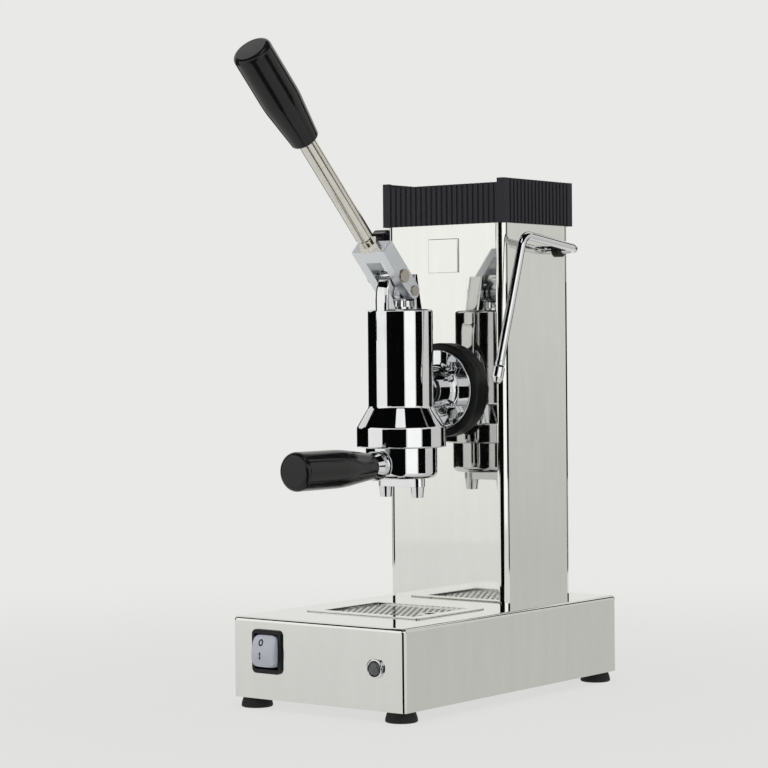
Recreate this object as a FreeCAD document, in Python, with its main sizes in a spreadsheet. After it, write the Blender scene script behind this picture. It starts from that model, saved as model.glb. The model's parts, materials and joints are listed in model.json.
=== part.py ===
import FreeCAD, Part
import math
import os

import Sketcher

Vector = FreeCAD.Vector
Rotation = FreeCAD.Rotation

# A spring-lever espresso machine with one group. Millimetres, X to the right, Y to the back, Z up.
# The origin is on the table, under the upright axis of the group. A size in quotes follows from other sizes.
SIZES = {
    # Base: a folded sheet box, closed below by a plate that the feet clamp.
    "base_width": 200,
    "base_depth": 350,
    "base_height": 75,
    "base_sheet": 1.5,
    "base_bend": 4,
    "base_lip": 24,
    "base_plate_thickness": 1.5,
    "base_plate_gap": 0.3,
    "group_to_front": 130,
    "foot_height": 10,
    "foot_bottom_radius": 15,
    "foot_top_radius": 12.5,
    "foot_inset_side": "foot_bottom_radius + 0.5",
    "foot_inset_end": "foot_bottom_radius + 0.5",
    "foot_recess_radius": 6,
    "foot_recess_depth": 4,
    "foot_screw_radius": 2,
    "foot_screw_head_radius": 4,
    "foot_screw_head_height": 2.8,
    # Column: a folded sheet tube with a screwed cover at the back.
    "column_width": 141,
    "column_depth": 115,
    "column_height": 367,
    "column_sheet": 1.2,
    "column_bend": 9,
    "column_lip": 12,
    "group_reach": 70.5,
    "cover_width": "column_width - 2 * cover_side",
    "cover_height": "column_height - cover_lift - cover_drop",
    "cover_lift": 22,
    "cover_drop": 25,
    "cover_side": 11,
    "cover_overlap": 9,
    "cover_corner": 6,
    "cover_slots": 7,
    "cover_slot_width": 60,
    "cover_slot_height": 4,
    "cover_slot_pitch": 12,
    "cover_slot_lift": 190,
    "small_screw_radius": 1.5,
    "small_screw_head_radius": 3.2,
    "small_screw_head_height": 1.8,
    "small_screw_length": 8,
    "screw_clearance": 0.2,
    "plate_width": 35.5,
    "plate_height": 33,
    "plate_thickness": 1.5,
    "plate_drop": 13.5,
    "plate_bevel": 0.8,
    # Cup tray on top of the column.
    "tray_overhang": 2.5,
    "tray_height": 42.6,
    "tray_wall": 4.5,
    "tray_corner": 8,
    "tray_dip": 4,
    "recess_corner": 5,
    "tray_floor": 3,
    "tray_floor_lift": 13,
    "rib_pitch": 6.1,
    "rib_gap": 2.6,
    "rib_depth": 1.3,
    "skirt_depth": "spindle_drop - spindle_radius - 3",
    "skirt_wall": 2,
    "skirt_gap": 0.6,
    # Drip tray and its grid, let into the base top under the group.
    "drip_rim_width": 132,
    "drip_rim_depth": 106.5,
    "drip_rim_thickness": 1.2,
    "drip_rim_corner": 3,
    "drip_setback": 11.3,
    "pan_width": "drip_rim_width - 24",
    "pan_length": "drip_rim_depth - 20.5",
    "pan_depth": 30,
    "pan_wall": 1,
    "pan_gap": 0.5,
    "ledge_width": 3,
    "ledge_drop": 3,
    "ledge_thickness": 1.2,
    "grid_thickness": 1.2,
    "grid_gap": 0.4,
    "grid_border": 5,
    "grid_hole_radius": 2.1,
    "grid_hole_pitch": 6.4,
    "finger_hole_radius": 6,
    # Boiler and what is screwed to it, inside the column.
    "boiler_radius": 40,
    "boiler_wall": 2,
    "boiler_lift": "column_height - boiler_drop - boiler_height",
    "boiler_height": 240,
    "boiler_drop": 42,
    "boiler_flange_radius": "element_bolt_circle + 4.5",
    "boiler_flange_thickness": 6,
    "filler_outer_radius": "cap_radius - 1",
    "filler_bore_radius": "cap_radius - 7",
    "filler_height": 14,
    "cap_radius": "boiler_radius * 0.4",
    "cap_height": 17,
    "cap_plug_length": 12,
    "cap_fit": 0.05,
    "seal_thickness": 2,
    "port_radius": 5,
    "port_depth": 5,
    "element_tube_radius": 4,
    "element_half_width": 14,
    "element_length": 100,
    "element_terminal_length": 12,
    "element_bolt_radius": 2.4,
    "element_bolt_circle": "boiler_radius + element_nut_flats / sqrt(3) + 0.9",
    "element_bolt_count": 6,
    "element_nut_flats": 8,
    "element_nut_height": 4,
    "element_gasket_thickness": 2,
    "neck_flange_radius": "flange_bolt_circle + 7",
    "neck_flange_thickness": 8,
    "neck_radius": 25,
    "neck_bore_radius": 19,
    "safety_valve_offset": "cap_radius + safety_valve_radius",
    "safety_valve_radius": 9,
    "safety_valve_height": 28,
    "pressurestat_thickness": "column_width / 2 - column_sheet - boiler_radius - 5.3",
    "pressurestat_width": 36,
    "pressurestat_height": 45,
    "pressurestat_lift": 125,
    "pressurestat_pipe_radius": 3,
    # Steam valve, knob on the left and wand on the right.
    "valve_side": 12,
    "valve_back": "column_depth / 2 - sqrt((boiler_radius - boiler_wall - port_radius - 0.7) ^ 2 - valve_side ^ 2)",
    "valve_width": "boiler_radius - cap_radius - 2",
    "valve_height": 36,
    "spindle_drop": "boiler_drop - 27",
    "spindle_radius": 4,
    "spindle_fit": 0.05,
    "spindle_hole_radius": "spindle_radius + 2",
    "knob_gap": 3,
    "knob_radius": 15,
    "knob_neck_radius": "spindle_radius + 5",
    "knob_length": 31,
    "knob_round": 3,
    "wand_back": "column_depth - 20.2",
    "wand_drop": "boiler_drop - 18.2",
    "wand_out": "column_width / 2 + 23.5",
    "wand_radius": 4.1,
    "wand_bore_radius": "wand_radius - 1.7",
    "wand_bend": 13,
    "wand_rise": 11.3,
    "wand_forward": 95.4,
    "wand_reach": 41.3,
    "wand_fall": 123.7,
    "nozzle_radius": "wand_radius + 1.3",
    "nozzle_length": 21,
    "nozzle_overlap": 4,
    "nut_radius": "nut_thread_radius + 1.1",
    "nut_collar": 4,
    "nut_thread_radius": "wand_radius + 1.8",
    "nut_length": 13,
    "nut_fit": 0.06,
    "steam_pipe_radius": 3.5,
    "steam_pipe_bend": 8,
    # Group: one casting with the cylinder, the bell, two ears and the flange.
    "bell_lift": 154,
    "bell_height": 19,
    "bell_radius": "bayonet_groove_radius + 4.2",
    "cone_height": 19.2,
    "cone_round": 8,
    "cylinder_radius": "bore_radius + 8",
    "cylinder_height": 92.4,
    "cylinder_round": 2.5,
    "cylinder_cap": 12.6,
    "bore_radius": 23,
    "bayonet_lip_height": 6,
    "bayonet_lip_radius": "cup_radius + 0.7",
    "bayonet_groove_radius": "bayonet_lip_radius + 3.5",
    "bayonet_groove_height": 7.9,
    "bayonet_angle": 45,
    "gasket_inner_radius": "screen_radius + 0.6",
    "gasket_outer_radius": "cup_radius - 0.4",
    "gasket_thickness": 7,
    "gasket_lift": "cup_top_lift + basket_rim",
    "screen_thickness": 1,
    "screen_radius": "bore_radius + 2.2",
    "screen_lift": "gasket_lift + 0.1",
    "ear_width": 15,
    "front_ear_height": 20,
    "front_ear_depth": 12,
    "back_ear_height": 33.4,
    "back_ear_front": "rod_head_half_depth + 2",
    "back_ear_top": 5.5,
    "knuckle_radius": "fulcrum_pin_radius + 3",
    "neck_height": 53,
    "group_neck_radius": 21,
    "group_flange_radius": "flange_bolt_circle + 9",
    "group_flange_thickness": 9.5,
    "ring_radius": "group_flange_radius + ring_gap + 6.2",
    "ring_depth": 10.5,
    "ring_back": 3,
    "ring_gap": 0.3,
    "flange_bolt_circle": "group_neck_radius + flange_bolt_flats / sqrt(3) + 2.1",
    "flange_bolt_count": 4,
    "flange_bolt_radius": 3.9,
    "flange_bolt_flats": 12,
    "flange_bolt_head": 5.5,
    "flange_bolt_clearance": 0.4,
    "feed_radius": 4,
    "feed_lift": 40,
    # Piston, rod and spring inside the group.
    "piston_lift": "screen_lift + screen_thickness + 3.4",
    "piston_height": 24,
    "piston_fit": 0.05,
    "seal_groove_depth": 2.4,
    "seal_height": 3.5,
    "seal_inset": 3,
    "seal_fit": 0.03,
    "rod_radius": 6,
    "rod_thread_radius": "rod_radius - 1",
    "rod_thread_length": 14,
    "rod_fit": 0.04,
    "bush_radius": "rod_radius + 3",
    "bush_collar_radius": "bush_radius + 3",
    "bush_collar_height": 2,
    "spring_radius": 16,
    "spring_wire_radius": 2.6,
    "spring_turns": 7,
    "spring_end_gap": 0.3,
    # Lever: the fork turns on the fulcrum pin and lifts the piston rod by the rod pin.
    "fulcrum_forward": "rod_pin_arm * (1 + cos(rod_pin_angle)) / 2",
    "fulcrum_height": 30.9,
    "fulcrum_pin_radius": 3.5,
    "fulcrum_pin_head_radius": "fulcrum_pin_radius + 2.8",
    "pin_head_height": 1.4,
    "pin_head_gap": 0.3,
    "pin_fit": 0.05,
    "rod_pin_arm": 20.95,
    "rod_pin_angle": 40,
    "rod_pin_radius": 4,
    "rod_pin_head_radius": "rod_pin_radius + 0.8",
    "rod_head_half_depth": "rod_slot_play + rod_pin_radius + rod_slot_gap + 2.6",
    "rod_head_half_height": "rod_pin_radius + rod_slot_gap + 4.7",
    "rod_slot_gap": 0.8,
    "rod_slot_play": "rod_pin_arm * (1 - cos(rod_pin_angle)) / 2 + 0.65",
    "lever_lean": 45,
    "fork_width": "fork_slot + 20",
    "fork_slot": "ear_width + 3",
    "fork_top": 37.5,
    "fork_bridge": 14,
    "fork_front": 7,
    "fork_back": 9.8,
    "fork_corner": 1.6,
    "fork_lobe": "rod_pin_radius + 4",
    "lock_nut_flats": 17,
    "lock_nut_height": 6,
    "lever_neck_radius": 5,
    "lever_collar_start": "fork_top + lock_nut_height + 3.5",
    "lever_rod_radius": 8.25,
    "lever_rod_start": "lever_collar_start + 4",
    "lever_handle_start": 170.5,
    "lever_handle_length": 105.5,
    "lever_handle_low_radius": 13.3,
    "lever_handle_radius": 18.3,
    "lever_handle_taper": 46,
    "lever_handle_round": 3,
    "lever_tang_length": "lever_handle_length - 35.5",
    "tang_fit": 0.1,
    # Portafilter, held in the bell by two lugs.
    "cup_radius": 34,
    "cup_bore_radius": "cup_radius - 4.2",
    "cup_drop": 29.2,
    "cup_floor": 4.4,
    "cup_round": 5.5,
    "cup_top_lift": 13.5,
    "lug_radius": "bayonet_groove_radius - 0.8",
    "lug_width": 18,
    "lug_height": 5.4,
    "lug_gap": 0.05,
    "outlet_radius": 5,
    "basket_gap": 0.4,
    "basket_wall": 0.6,
    "basket_depth": 25,
    "basket_rim_radius": "cup_radius - 2",
    "basket_rim": 1,
    "handle_drop": 16.5,
    "handle_boss_radius": 11,
    "handle_boss_end": "cup_radius + 4",
    "handle_stud_radius": 5,
    "handle_stud_length": "handle_length - 42",
    "ferrule_radius": 14,
    "ferrule_length": 11.5,
    "ferrule_neck_radius": 11.5,
    "handle_low_radius": 12.4,
    "handle_radius": 17.9,
    "handle_taper": 44.5,
    "handle_length": 110.5,
    "handle_round": 3,
    "spout_half_width": 25.8,
    "spout_half_depth": 7,
    "spout_bridge": 8,
    "spout_leg": 10.2,
    "spout_tip_radius": 5.4,
    "spout_bore_radius": 2.6,
    "spout_stem_radius": "outlet_radius - 0.1",
    "spout_stem_length": 4,
    # Switch and pilot lamp in the base front, mains inlet in the base back.
    "switch_aside": "base_width / 2 - 42",
    "switch_lift": "base_height - 30.7",
    "bezel_width": "switch_body_width + 3.5",
    "bezel_height": "switch_body_height + 5.5",
    "bezel_thickness": 2.2,
    "bezel_corner": 5,
    "switch_body_width": 31,
    "switch_body_height": 35,
    "switch_body_depth": 24,
    "rocker_half_width": "switch_body_width / 2 - 1.5 - rocker_gap",
    "rocker_half_height": "pocket_half_height - 1.4",
    "rocker_middle": 10.6,
    "rocker_crown": 2.8,
    "rocker_arc": "(rocker_half_height ^ 2 + rocker_crown ^ 2) / (2 * rocker_crown)",
    "rocker_corner": 3,
    "rocker_back": 4,
    "rocker_gap": 0.4,
    "rocker_axis_depth": 2.5,
    "rocker_lean": 8,
    "rocker_pivot_radius": 1.9,
    "rocker_pivot_length": 1.2,
    "rocker_pivot_fit": 0.05,
    "pocket_depth": 9,
    "pocket_half_height": "switch_body_height / 2 - 1.3",
    "lamp_aside": "base_width / 2 - 32",
    "lamp_lift": "base_height - 37",
    "lamp_ring_radius": "lamp_body_radius + 1.4",
    "lamp_ring_depth": 3,
    "lamp_body_radius": "lens_radius + 1.2",
    "lamp_body_depth": 20,
    "lens_radius": 6.4,
    "lens_depth": 6,
    "lens_proud": 1.2,
    "inlet_aside": "base_width / 2 - 42",
    "inlet_lift": "base_height - 38",
    "inlet_flange_width": "2 * inlet_screw_spread + 10",
    "inlet_flange_height": "inlet_body_height + 7",
    "inlet_flange_thickness": 3,
    "inlet_corner": 4,
    "inlet_body_width": 28,
    "inlet_body_height": 21,
    "inlet_body_depth": 22,
    "inlet_cavity_width": "inlet_body_width - 4",
    "inlet_cavity_height": "inlet_body_height - 4.5",
    "inlet_cavity_depth": "inlet_body_depth + inlet_flange_thickness - 8",
    "inlet_pin_length": 10,
    "inlet_pin_width": 2,
    "inlet_pin_height": 4,
    "inlet_pin_spread": 7,
    "inlet_pin_stagger": 2,
    "inlet_screw_spread": "inlet_body_width / 2 + 6",
    "cutout_gap": 0.3,
    "wire_radius": 2,
    "wire_bend": 12,
    "wire_lift": 16,
}

doc = FreeCAD.newDocument("espresso_machine")
sheet = doc.addObject("Spreadsheet::Sheet", "Sizes")
for row, alias in enumerate(SIZES, 1):
    sheet.set(f"A{row}", alias)
    sheet.setAlias(f"B{row}", alias)
for row, amount in enumerate(SIZES.values(), 1):
    sheet.set(f"B{row}", f"={amount}")
doc.recompute()

ALONG = {
    "x": Rotation(Vector(0, 1, 0), 90),
    "-x": Rotation(Vector(0, 1, 0), -90),
    "y": Rotation(Vector(1, 0, 0), -90),
    "-y": Rotation(Vector(1, 0, 0), 90),
    "z": Rotation(),
    "-z": Rotation(Vector(1, 0, 0), 180),
}
pieces = {}


def size(text):
    """An expression in which every word that is a size is read from the sheet."""
    words = []
    word = ""
    for letter in text + " ":
        if letter.isalnum() or letter in "_.":
            word += letter
            continue
        words.append("Sizes." + word if word in SIZES else word)
        words.append(letter)
        word = ""
    return "".join(words).strip()


def value(text):
    """The number that an expression gives."""
    return float(sheet.evalExpression(size(text)))


def bind(item, **expressions):
    """Ties properties of an object to sizes."""
    for name, text in expressions.items():
        item.setExpression(name, size(text))
    return item


def put(item, x="0", y="0", z="0", turn=None):
    """Places an object, turned first and then moved."""
    if turn is not None:
        item.Placement = FreeCAD.Placement(Vector(), turn)
    for axis, text in zip("xyz", (x, y, z)):
        item.setExpression("Placement.Base." + axis, size(text))
    return item


def span(pair):
    """The length from the first of two places to the second."""
    return f"({pair[1]}) - ({pair[0]})"


def both(half):
    """A pair of places, the same way out on both sides."""
    return (f"-({half})", half)


def block(x, y, z):
    """A box between two places on each axis."""
    item = doc.addObject("Part::Box", "block")
    bind(item, Length=span(x), Width=span(y), Height=span(z))
    return put(item, x[0], y[0], z[0])


def rod(radius, length, along, x="0", y="0", z="0"):
    """A round bar from a point, along an axis."""
    item = doc.addObject("Part::Cylinder", "rod")
    bind(item, Radius=radius, Height=length)
    return put(item, x, y, z, ALONG[along])


def hexagon(flats, length, along, x="0", y="0", z="0"):
    """A six-sided bar from a point, along an axis."""
    item = doc.addObject("Part::Prism", "hexagon")
    item.Polygon = 6
    bind(item, Circumradius=f"({flats}) / sqrt(3)", Height=length)
    return put(item, x, y, z, ALONG[along])


def join(*items):
    """Several overlapping solids as one."""
    if len(items) == 1:
        return items[0]
    item = doc.addObject("Part::MultiFuse", "join")
    item.Shapes = list(items)
    return item


def cut(base, *tools):
    """A solid less all of the tools."""
    item = doc.addObject("Part::Cut", "cut")
    item.Base = base
    item.Tool = join(*tools)
    return item


def overlap(first, second):
    """What two solids share."""
    item = doc.addObject("Part::Common", "overlap")
    item.Base = first
    item.Tool = second
    return item


def several(items):
    """Separate solids kept together, such as a set of screws."""
    item = doc.addObject("Part::Compound", "several")
    item.Links = list(items)
    return item


def piece(name, item):
    """Names a finished piece."""
    item.Label = name
    pieces[name] = item
    return item


def fillet(item, radius, chosen):
    """Rounds the straight edges of a solid that the chosen test accepts."""
    doc.recompute()
    edges = [number for number, edge in enumerate(item.Shape.Edges, 1) if chosen(edge)]
    rounded = doc.addObject("Part::Fillet", "fillet")
    rounded.Base = item
    rounded.Edges = [(number, value(radius), value(radius)) for number in edges]
    return rounded


def lies_along(axis):
    """A test for straight edges along X, Y or Z."""
    direction = {"x": Vector(1, 0, 0), "y": Vector(0, 1, 0), "z": Vector(0, 0, 1)}[axis]

    def test(edge):
        start, end = (vertex.Point for vertex in (edge.Vertexes[0], edge.Vertexes[-1]))
        return abs(abs((end - start).normalize().dot(direction)) - 1) < 1e-6

    return test


def outline(body, plane, points):
    """A closed sketch of straight lines on one of the body's planes, each corner tied to sizes."""
    sketch = body.newObject("Sketcher::SketchObject", "outline")
    face = [feature for feature in body.Origin.OriginFeatures if feature.Role == plane][0]
    sketch.AttachmentSupport = (face, [""])
    sketch.MapMode = "FlatFace"
    corners = [Vector(value(across), value(up), 0) for across, up in points]
    count = len(corners)
    for number in range(count):
        sketch.addGeometry(Part.LineSegment(corners[number], corners[(number + 1) % count]), False)
    for number in range(count):
        sketch.addConstraint(Sketcher.Constraint("Coincident", number, 2, (number + 1) % count, 1))
    for number, (across, up) in enumerate(points):
        for kind, text, start in (("DistanceX", across, corners[number].x), ("DistanceY", up, corners[number].y)):
            constraint = sketch.addConstraint(Sketcher.Constraint(kind, -1, 1, number, 1, start))
            sketch.setExpression(f"Constraints[{constraint}]", size(text))
    return sketch


def turned(points):
    """A body turned about its own Z axis from a half outline of (radius, height) corners."""
    body = doc.addObject("PartDesign::Body", "turned")
    sketch = outline(body, "XZ_Plane", points)
    revolution = body.newObject("PartDesign::Revolution", "revolution")
    revolution.Profile = sketch
    revolution.ReferenceAxis = (sketch, ["V_Axis"])
    revolution.Angle = 360
    return body


def extruded(points, width):
    """A body of an outline of (Y, Z) corners, the same way out on both sides of X = 0."""
    body = doc.addObject("PartDesign::Body", "extruded")
    sketch = outline(body, "YZ_Plane", points)
    pad = body.newObject("PartDesign::Pad", "pad")
    pad.Profile = sketch
    pad.SideType = "Symmetric"
    bind(pad, Length=width)
    return body


def soften(body, radius, *rims):
    """Rounds the circular rims of a turned body, each given by its radius and height."""
    doc.recompute()
    base = body.Tip
    names = []
    for rim_radius, rim_height in rims:
        for number, edge in enumerate(base.Shape.Edges, 1):
            curve = edge.Curve
            if curve.TypeId != "Part::GeomCircle":
                continue
            same_radius = abs(curve.Radius - value(rim_radius)) < 1e-4
            if same_radius and abs(curve.Center.z - value(rim_height)) < 1e-4:
                names.append(f"Edge{number}")
    feature = body.newObject("PartDesign::Fillet", "soften")
    feature.Base = (base, names)
    bind(feature, Radius=radius)
    return body


def bent_path(points, bend):
    """A wire of straight runs through the points, with each corner rounded by one radius."""
    places = [Vector(*(value(text) for text in point)) for point in points]
    edges = []
    start = places[0]
    for before, corner, after in zip(places, places[1:], places[2:]):
        incoming = (corner - before).normalize()
        outgoing = (after - corner).normalize()
        half_turn = incoming.getAngle(outgoing) / 2
        trim = value(bend) * math.tan(half_turn)
        inward = (outgoing - incoming).normalize()
        first = corner - incoming * trim
        last = corner + outgoing * trim
        middle = corner + inward * (value(bend) / math.cos(half_turn) - value(bend))
        edges.append(Part.LineSegment(start, first).toShape())
        edges.append(Part.Arc(first, middle, last).toShape())
        start = last
    edges.append(Part.LineSegment(start, places[-1]).toShape())
    return Part.Wire(edges)


def swept(path, radius):
    """A round bar along a wire."""
    start = path.OrderedEdges[0]
    ring = Part.Circle(start.valueAt(start.FirstParameter), start.tangentAt(start.FirstParameter), radius)
    return path.makePipeShell([Part.Wire([ring.toShape()])], True, False)


def shaped(shape):
    """A document object for a shape that no feature above gives."""
    item = doc.addObject("Part::Feature", "shaped")
    item.Shape = shape
    return item


# Planes and levels that several pieces share.
base_top = "(foot_height + base_height)"
base_front = "(0 - group_to_front)"
base_back = "(base_depth - group_to_front)"
column_front = "group_reach"
column_back = "(group_reach + column_depth)"
column_middle = "(group_reach + column_depth / 2)"
column_top = f"({base_top} + column_height)"
inner_front = "(group_reach + column_sheet)"
inner_half_width = "(column_width / 2 - column_sheet)"
bell_bottom = f"({base_top} + bell_lift)"
cone_bottom = f"({bell_bottom} + bell_height)"
cylinder_bottom = f"({cone_bottom} + cone_height)"
cylinder_top = f"({cylinder_bottom} + cylinder_height)"
flange_level = f"({bell_bottom} + neck_height)"

# Base shell: sheet box, open below, with a turned-in lip above the plate.
half_base = "(base_width / 2)"
inner_base = "(base_width / 2 - base_sheet)"
plate_top = "(foot_height + base_plate_thickness)"
lip_top = f"({plate_top} + base_sheet)"
inner_y = (f"{base_front} + base_sheet", f"{base_back} - base_sheet")
lip_y = (f"{inner_y[0]} + base_lip", f"{inner_y[1]} - base_lip")
box = block(both(half_base), (base_front, base_back), ("foot_height", base_top))


def on_top_or_upright(edge):
    """Edges of the box that the sheet is folded over: the uprights and the top four."""
    heights = [vertex.Point.z for vertex in edge.Vertexes]
    return lies_along("z")(edge) or min(heights) > value(base_top) - 1e-6


box = fillet(box, "base_bend", on_top_or_upright)
foot_places = {
    "front_left": ("foot_inset_side - base_width / 2", f"{base_front} + foot_inset_end"),
    "front_right": ("base_width / 2 - foot_inset_side", f"{base_front} + foot_inset_end"),
    "rear_left": ("foot_inset_side - base_width / 2", f"{base_back} - foot_inset_end"),
    "rear_right": ("base_width / 2 - foot_inset_side", f"{base_back} - foot_inset_end"),
}
through_lip = ("foot_height", f"{lip_top} - foot_height + 1")
foot_holes = [
    rod("foot_screw_radius + screw_clearance", through_lip[1], "z", x, y, through_lip[0])
    for x, y in foot_places.values()
]
pan_y = ("0 - drip_setback - pan_length / 2", "pan_length / 2 - drip_setback")
pan_hole = block(
    both("pan_width / 2 + pan_gap"),
    (f"{pan_y[0]} - pan_gap", f"{pan_y[1]} + pan_gap"),
    (f"{base_top} - base_sheet - 1", f"{base_top} + 1"),
)
wire_hole = block(
    both("column_width / 2 - column_sheet - column_lip"),
    (f"{inner_front} + column_lip", f"{column_back} - column_sheet - column_lip"),
    (f"{base_top} - base_sheet - 1", f"{base_top} + 1"),
)
switch_x = "(0 - switch_aside)"
switch_level = "(foot_height + switch_lift)"
switch_hole = block(
    (f"{switch_x} - switch_body_width / 2 - cutout_gap", f"{switch_x} + switch_body_width / 2 + cutout_gap"),
    (f"{base_front} - 1", f"{base_front} + base_sheet + 1"),
    (f"{switch_level} - switch_body_height / 2 - cutout_gap",
     f"{switch_level} + switch_body_height / 2 + cutout_gap"),
)
lamp_level = "(foot_height + lamp_lift)"
lamp_hole = rod("lamp_body_radius + cutout_gap", "base_sheet + 2", "y", "lamp_aside", f"{base_front} - 1", lamp_level)
inlet_x = "(0 - inlet_aside)"
inlet_level = "(foot_height + inlet_lift)"
inlet_hole = block(
    (f"{inlet_x} - inlet_body_width / 2 - cutout_gap", f"{inlet_x} + inlet_body_width / 2 + cutout_gap"),
    (f"{base_back} - base_sheet - 1", f"{base_back} + 1"),
    (f"{inlet_level} - inlet_body_height / 2 - cutout_gap", f"{inlet_level} + inlet_body_height / 2 + cutout_gap"),
)
inlet_screw_places = [f"{inlet_x} - inlet_screw_spread", f"{inlet_x} + inlet_screw_spread"]
inlet_screw_holes = [
    rod("small_screw_radius + screw_clearance", "base_sheet + 2", "y", x, f"{base_back} - base_sheet - 1", inlet_level)
    for x in inlet_screw_places
]
lip_middle = "column_sheet + column_lip / 2"
column_screw_places = [
    (x, y)
    for x in (f"{lip_middle} - column_width / 2", f"column_width / 2 - ({lip_middle})")
    for y in (f"{column_front} + {lip_middle} * 2", f"{column_back} - ({lip_middle}) * 2")
]
column_screw_holes = [
    rod("small_screw_radius + screw_clearance", "base_sheet + 2", "z", x, y, f"{base_top} - base_sheet - 1")
    for x, y in column_screw_places
]
piece("base_shell", cut(
    box,
    block(both(inner_base), inner_y, (lip_top, f"{base_top} - base_sheet")),
    block(both(f"{inner_base} - base_lip"), lip_y, ("foot_height - 1", f"{lip_top} + 1")),
    block(both(inner_base), inner_y, ("foot_height - 1", plate_top)),
    pan_hole, wire_hole, switch_hole, lamp_hole, inlet_hole,
    *foot_holes, *inlet_screw_holes, *column_screw_holes,
))

# Plate under the base, and the feet whose screws hold it.
plate = block(
    both(f"{inner_base} - base_plate_gap"),
    (f"{inner_y[0]} + base_plate_gap", f"{inner_y[1]} - base_plate_gap"),
    ("foot_height", plate_top),
)
plate_holes = [
    rod("foot_screw_radius + screw_clearance", "base_plate_thickness + 2", "z", x, y, "foot_height - 1")
    for x, y in foot_places.values()
]
piece("base_plate", cut(plate, *plate_holes))
foot_screws = []
for corner, (x, y) in foot_places.items():
    cone = doc.addObject("Part::Cone", "foot")
    bind(cone, Radius1="foot_bottom_radius", Radius2="foot_top_radius", Height="foot_height")
    put(cone, x, y, "0")
    recess = rod("foot_recess_radius", "foot_recess_depth + 1", "z", x, y, "0 - 1")
    hole = rod("foot_screw_radius + screw_clearance", "foot_height", "z", x, y, "1")
    piece(f"foot_{corner}", cut(cone, recess, hole))
    head = rod("foot_screw_head_radius", "foot_screw_head_height", "z", x, y,
               "foot_recess_depth - foot_screw_head_height")
    shank = rod("foot_screw_radius", f"{lip_top} + base_sheet - foot_recess_depth", "z", x, y, "foot_recess_depth")
    foot_screws.append(join(head, shank))
piece("foot_screws", several(foot_screws))

# Column shell: a sheet tube with a lip at its foot and a window at the back.
half_column = "column_width / 2"
tube = fillet(
    block(both(half_column), (column_front, column_back), (base_top, column_top)), "column_bend", lies_along("z"))
hollow = fillet(
    block(both(inner_half_width), (inner_front, f"{column_back} - column_sheet"),
          (f"{base_top} + column_sheet", f"{column_top} + 1")),
    "column_bend - column_sheet", lies_along("z"))
foot_opening = block(
    both(f"{inner_half_width} - column_lip"),
    (f"{inner_front} + column_lip", f"{column_back} - column_sheet - column_lip"),
    (f"{base_top} - 1", f"{base_top} + column_sheet + 1"),
)
cover_bottom = f"({base_top} + cover_lift)"
window = block(
    both("cover_width / 2 - cover_overlap"),
    (f"{column_back} - column_sheet - 1", f"{column_back} + 1"),
    (f"{cover_bottom} + cover_overlap", f"{cover_bottom} + cover_height - cover_overlap"),
)
cover_screw_places = [
    (x, z)
    for x in ("cover_overlap / 2 - cover_width / 2", "cover_width / 2 - cover_overlap / 2")
    for z in ("cover_overlap / 2", "cover_height / 2", "cover_height - cover_overlap / 2")
]
cover_screw_holes = [
    rod("small_screw_radius + screw_clearance", "column_sheet + 2", "y", x, f"{column_back} - column_sheet - 1",
        f"{cover_bottom} + {z}")
    for x, z in cover_screw_places
]
feet_of_column = [
    rod("small_screw_radius + screw_clearance", "column_sheet + 2", "z", x, y, f"{base_top} - 1")
    for x, y in column_screw_places
]
bolt_angles = [f"45 + 360 / flange_bolt_count * {number}" for number in range(SIZES["flange_bolt_count"])]
bolt_places = [
    (f"flange_bolt_circle * cos({angle})", f"{flange_level} + flange_bolt_circle * sin({angle})")
    for angle in bolt_angles
]


def bolt_holes(radius, start, length):
    """Holes along Y for the bolts of the group's flange."""
    return [rod(radius, length, "y", x, start, z) for x, z in bolt_places]


spindle_y = "(group_reach + valve_back)"
spindle_level = f"({column_top} - spindle_drop)"
wand_y = "(group_reach + wand_back)"
wand_level = f"({column_top} - wand_drop)"
piece("column_shell", cut(
    tube, hollow, foot_opening, window,
    rod("neck_bore_radius", "column_sheet + 2", "y", "0", f"{column_front} - 1", flange_level),
    rod("spindle_hole_radius", "column_sheet + 2", "x", "0 - column_width / 2 - 1", spindle_y, spindle_level),
    rod("nut_thread_radius + cutout_gap", "column_sheet + 2", "x", f"{inner_half_width} - 1", wand_y, wand_level),
    *bolt_holes("flange_bolt_radius + flange_bolt_clearance", f"{column_front} - 1", "column_sheet + 2"),
    *cover_screw_holes, *feet_of_column,
))
column_screws = []
for x, y in column_screw_places:
    head = rod("small_screw_head_radius", "small_screw_head_height", "z", x, y, f"{base_top} + column_sheet")
    shank = rod("small_screw_radius", "small_screw_length", "z", x, y,
                f"{base_top} + column_sheet - small_screw_length")
    column_screws.append(join(head, shank))
piece("column_screws", several(column_screws))

# Rear cover with cooling slots, and its screws.
cover = fillet(
    block(both("cover_width / 2"), (column_back, f"{column_back} + column_sheet"),
          (cover_bottom, f"{cover_bottom} + cover_height")),
    "cover_corner", lies_along("y"))
slots = [
    block(both("cover_slot_width / 2"), (f"{column_back} - 1", f"{column_back} + column_sheet + 1"),
          (f"{cover_bottom} + cover_slot_lift + cover_slot_pitch * {number}",
           f"{cover_bottom} + cover_slot_lift + cover_slot_pitch * {number} + cover_slot_height"))
    for number in range(SIZES["cover_slots"])
]
cover_holes = [
    rod("small_screw_radius + screw_clearance", "column_sheet + 2", "y", x, f"{column_back} - 1",
        f"{cover_bottom} + {z}")
    for x, z in cover_screw_places
]
piece("rear_cover", cut(cover, *slots, *cover_holes))
cover_screws = []
for x, z in cover_screw_places:
    outside = f"{column_back} + column_sheet"
    head = rod("small_screw_head_radius", "small_screw_head_height", "y", x, outside, f"{cover_bottom} + {z}")
    shank = rod("small_screw_radius", "small_screw_length", "-y", x, outside, f"{cover_bottom} + {z}")
    cover_screws.append(join(head, shank))
piece("rear_cover_screws", several(cover_screws))

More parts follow.
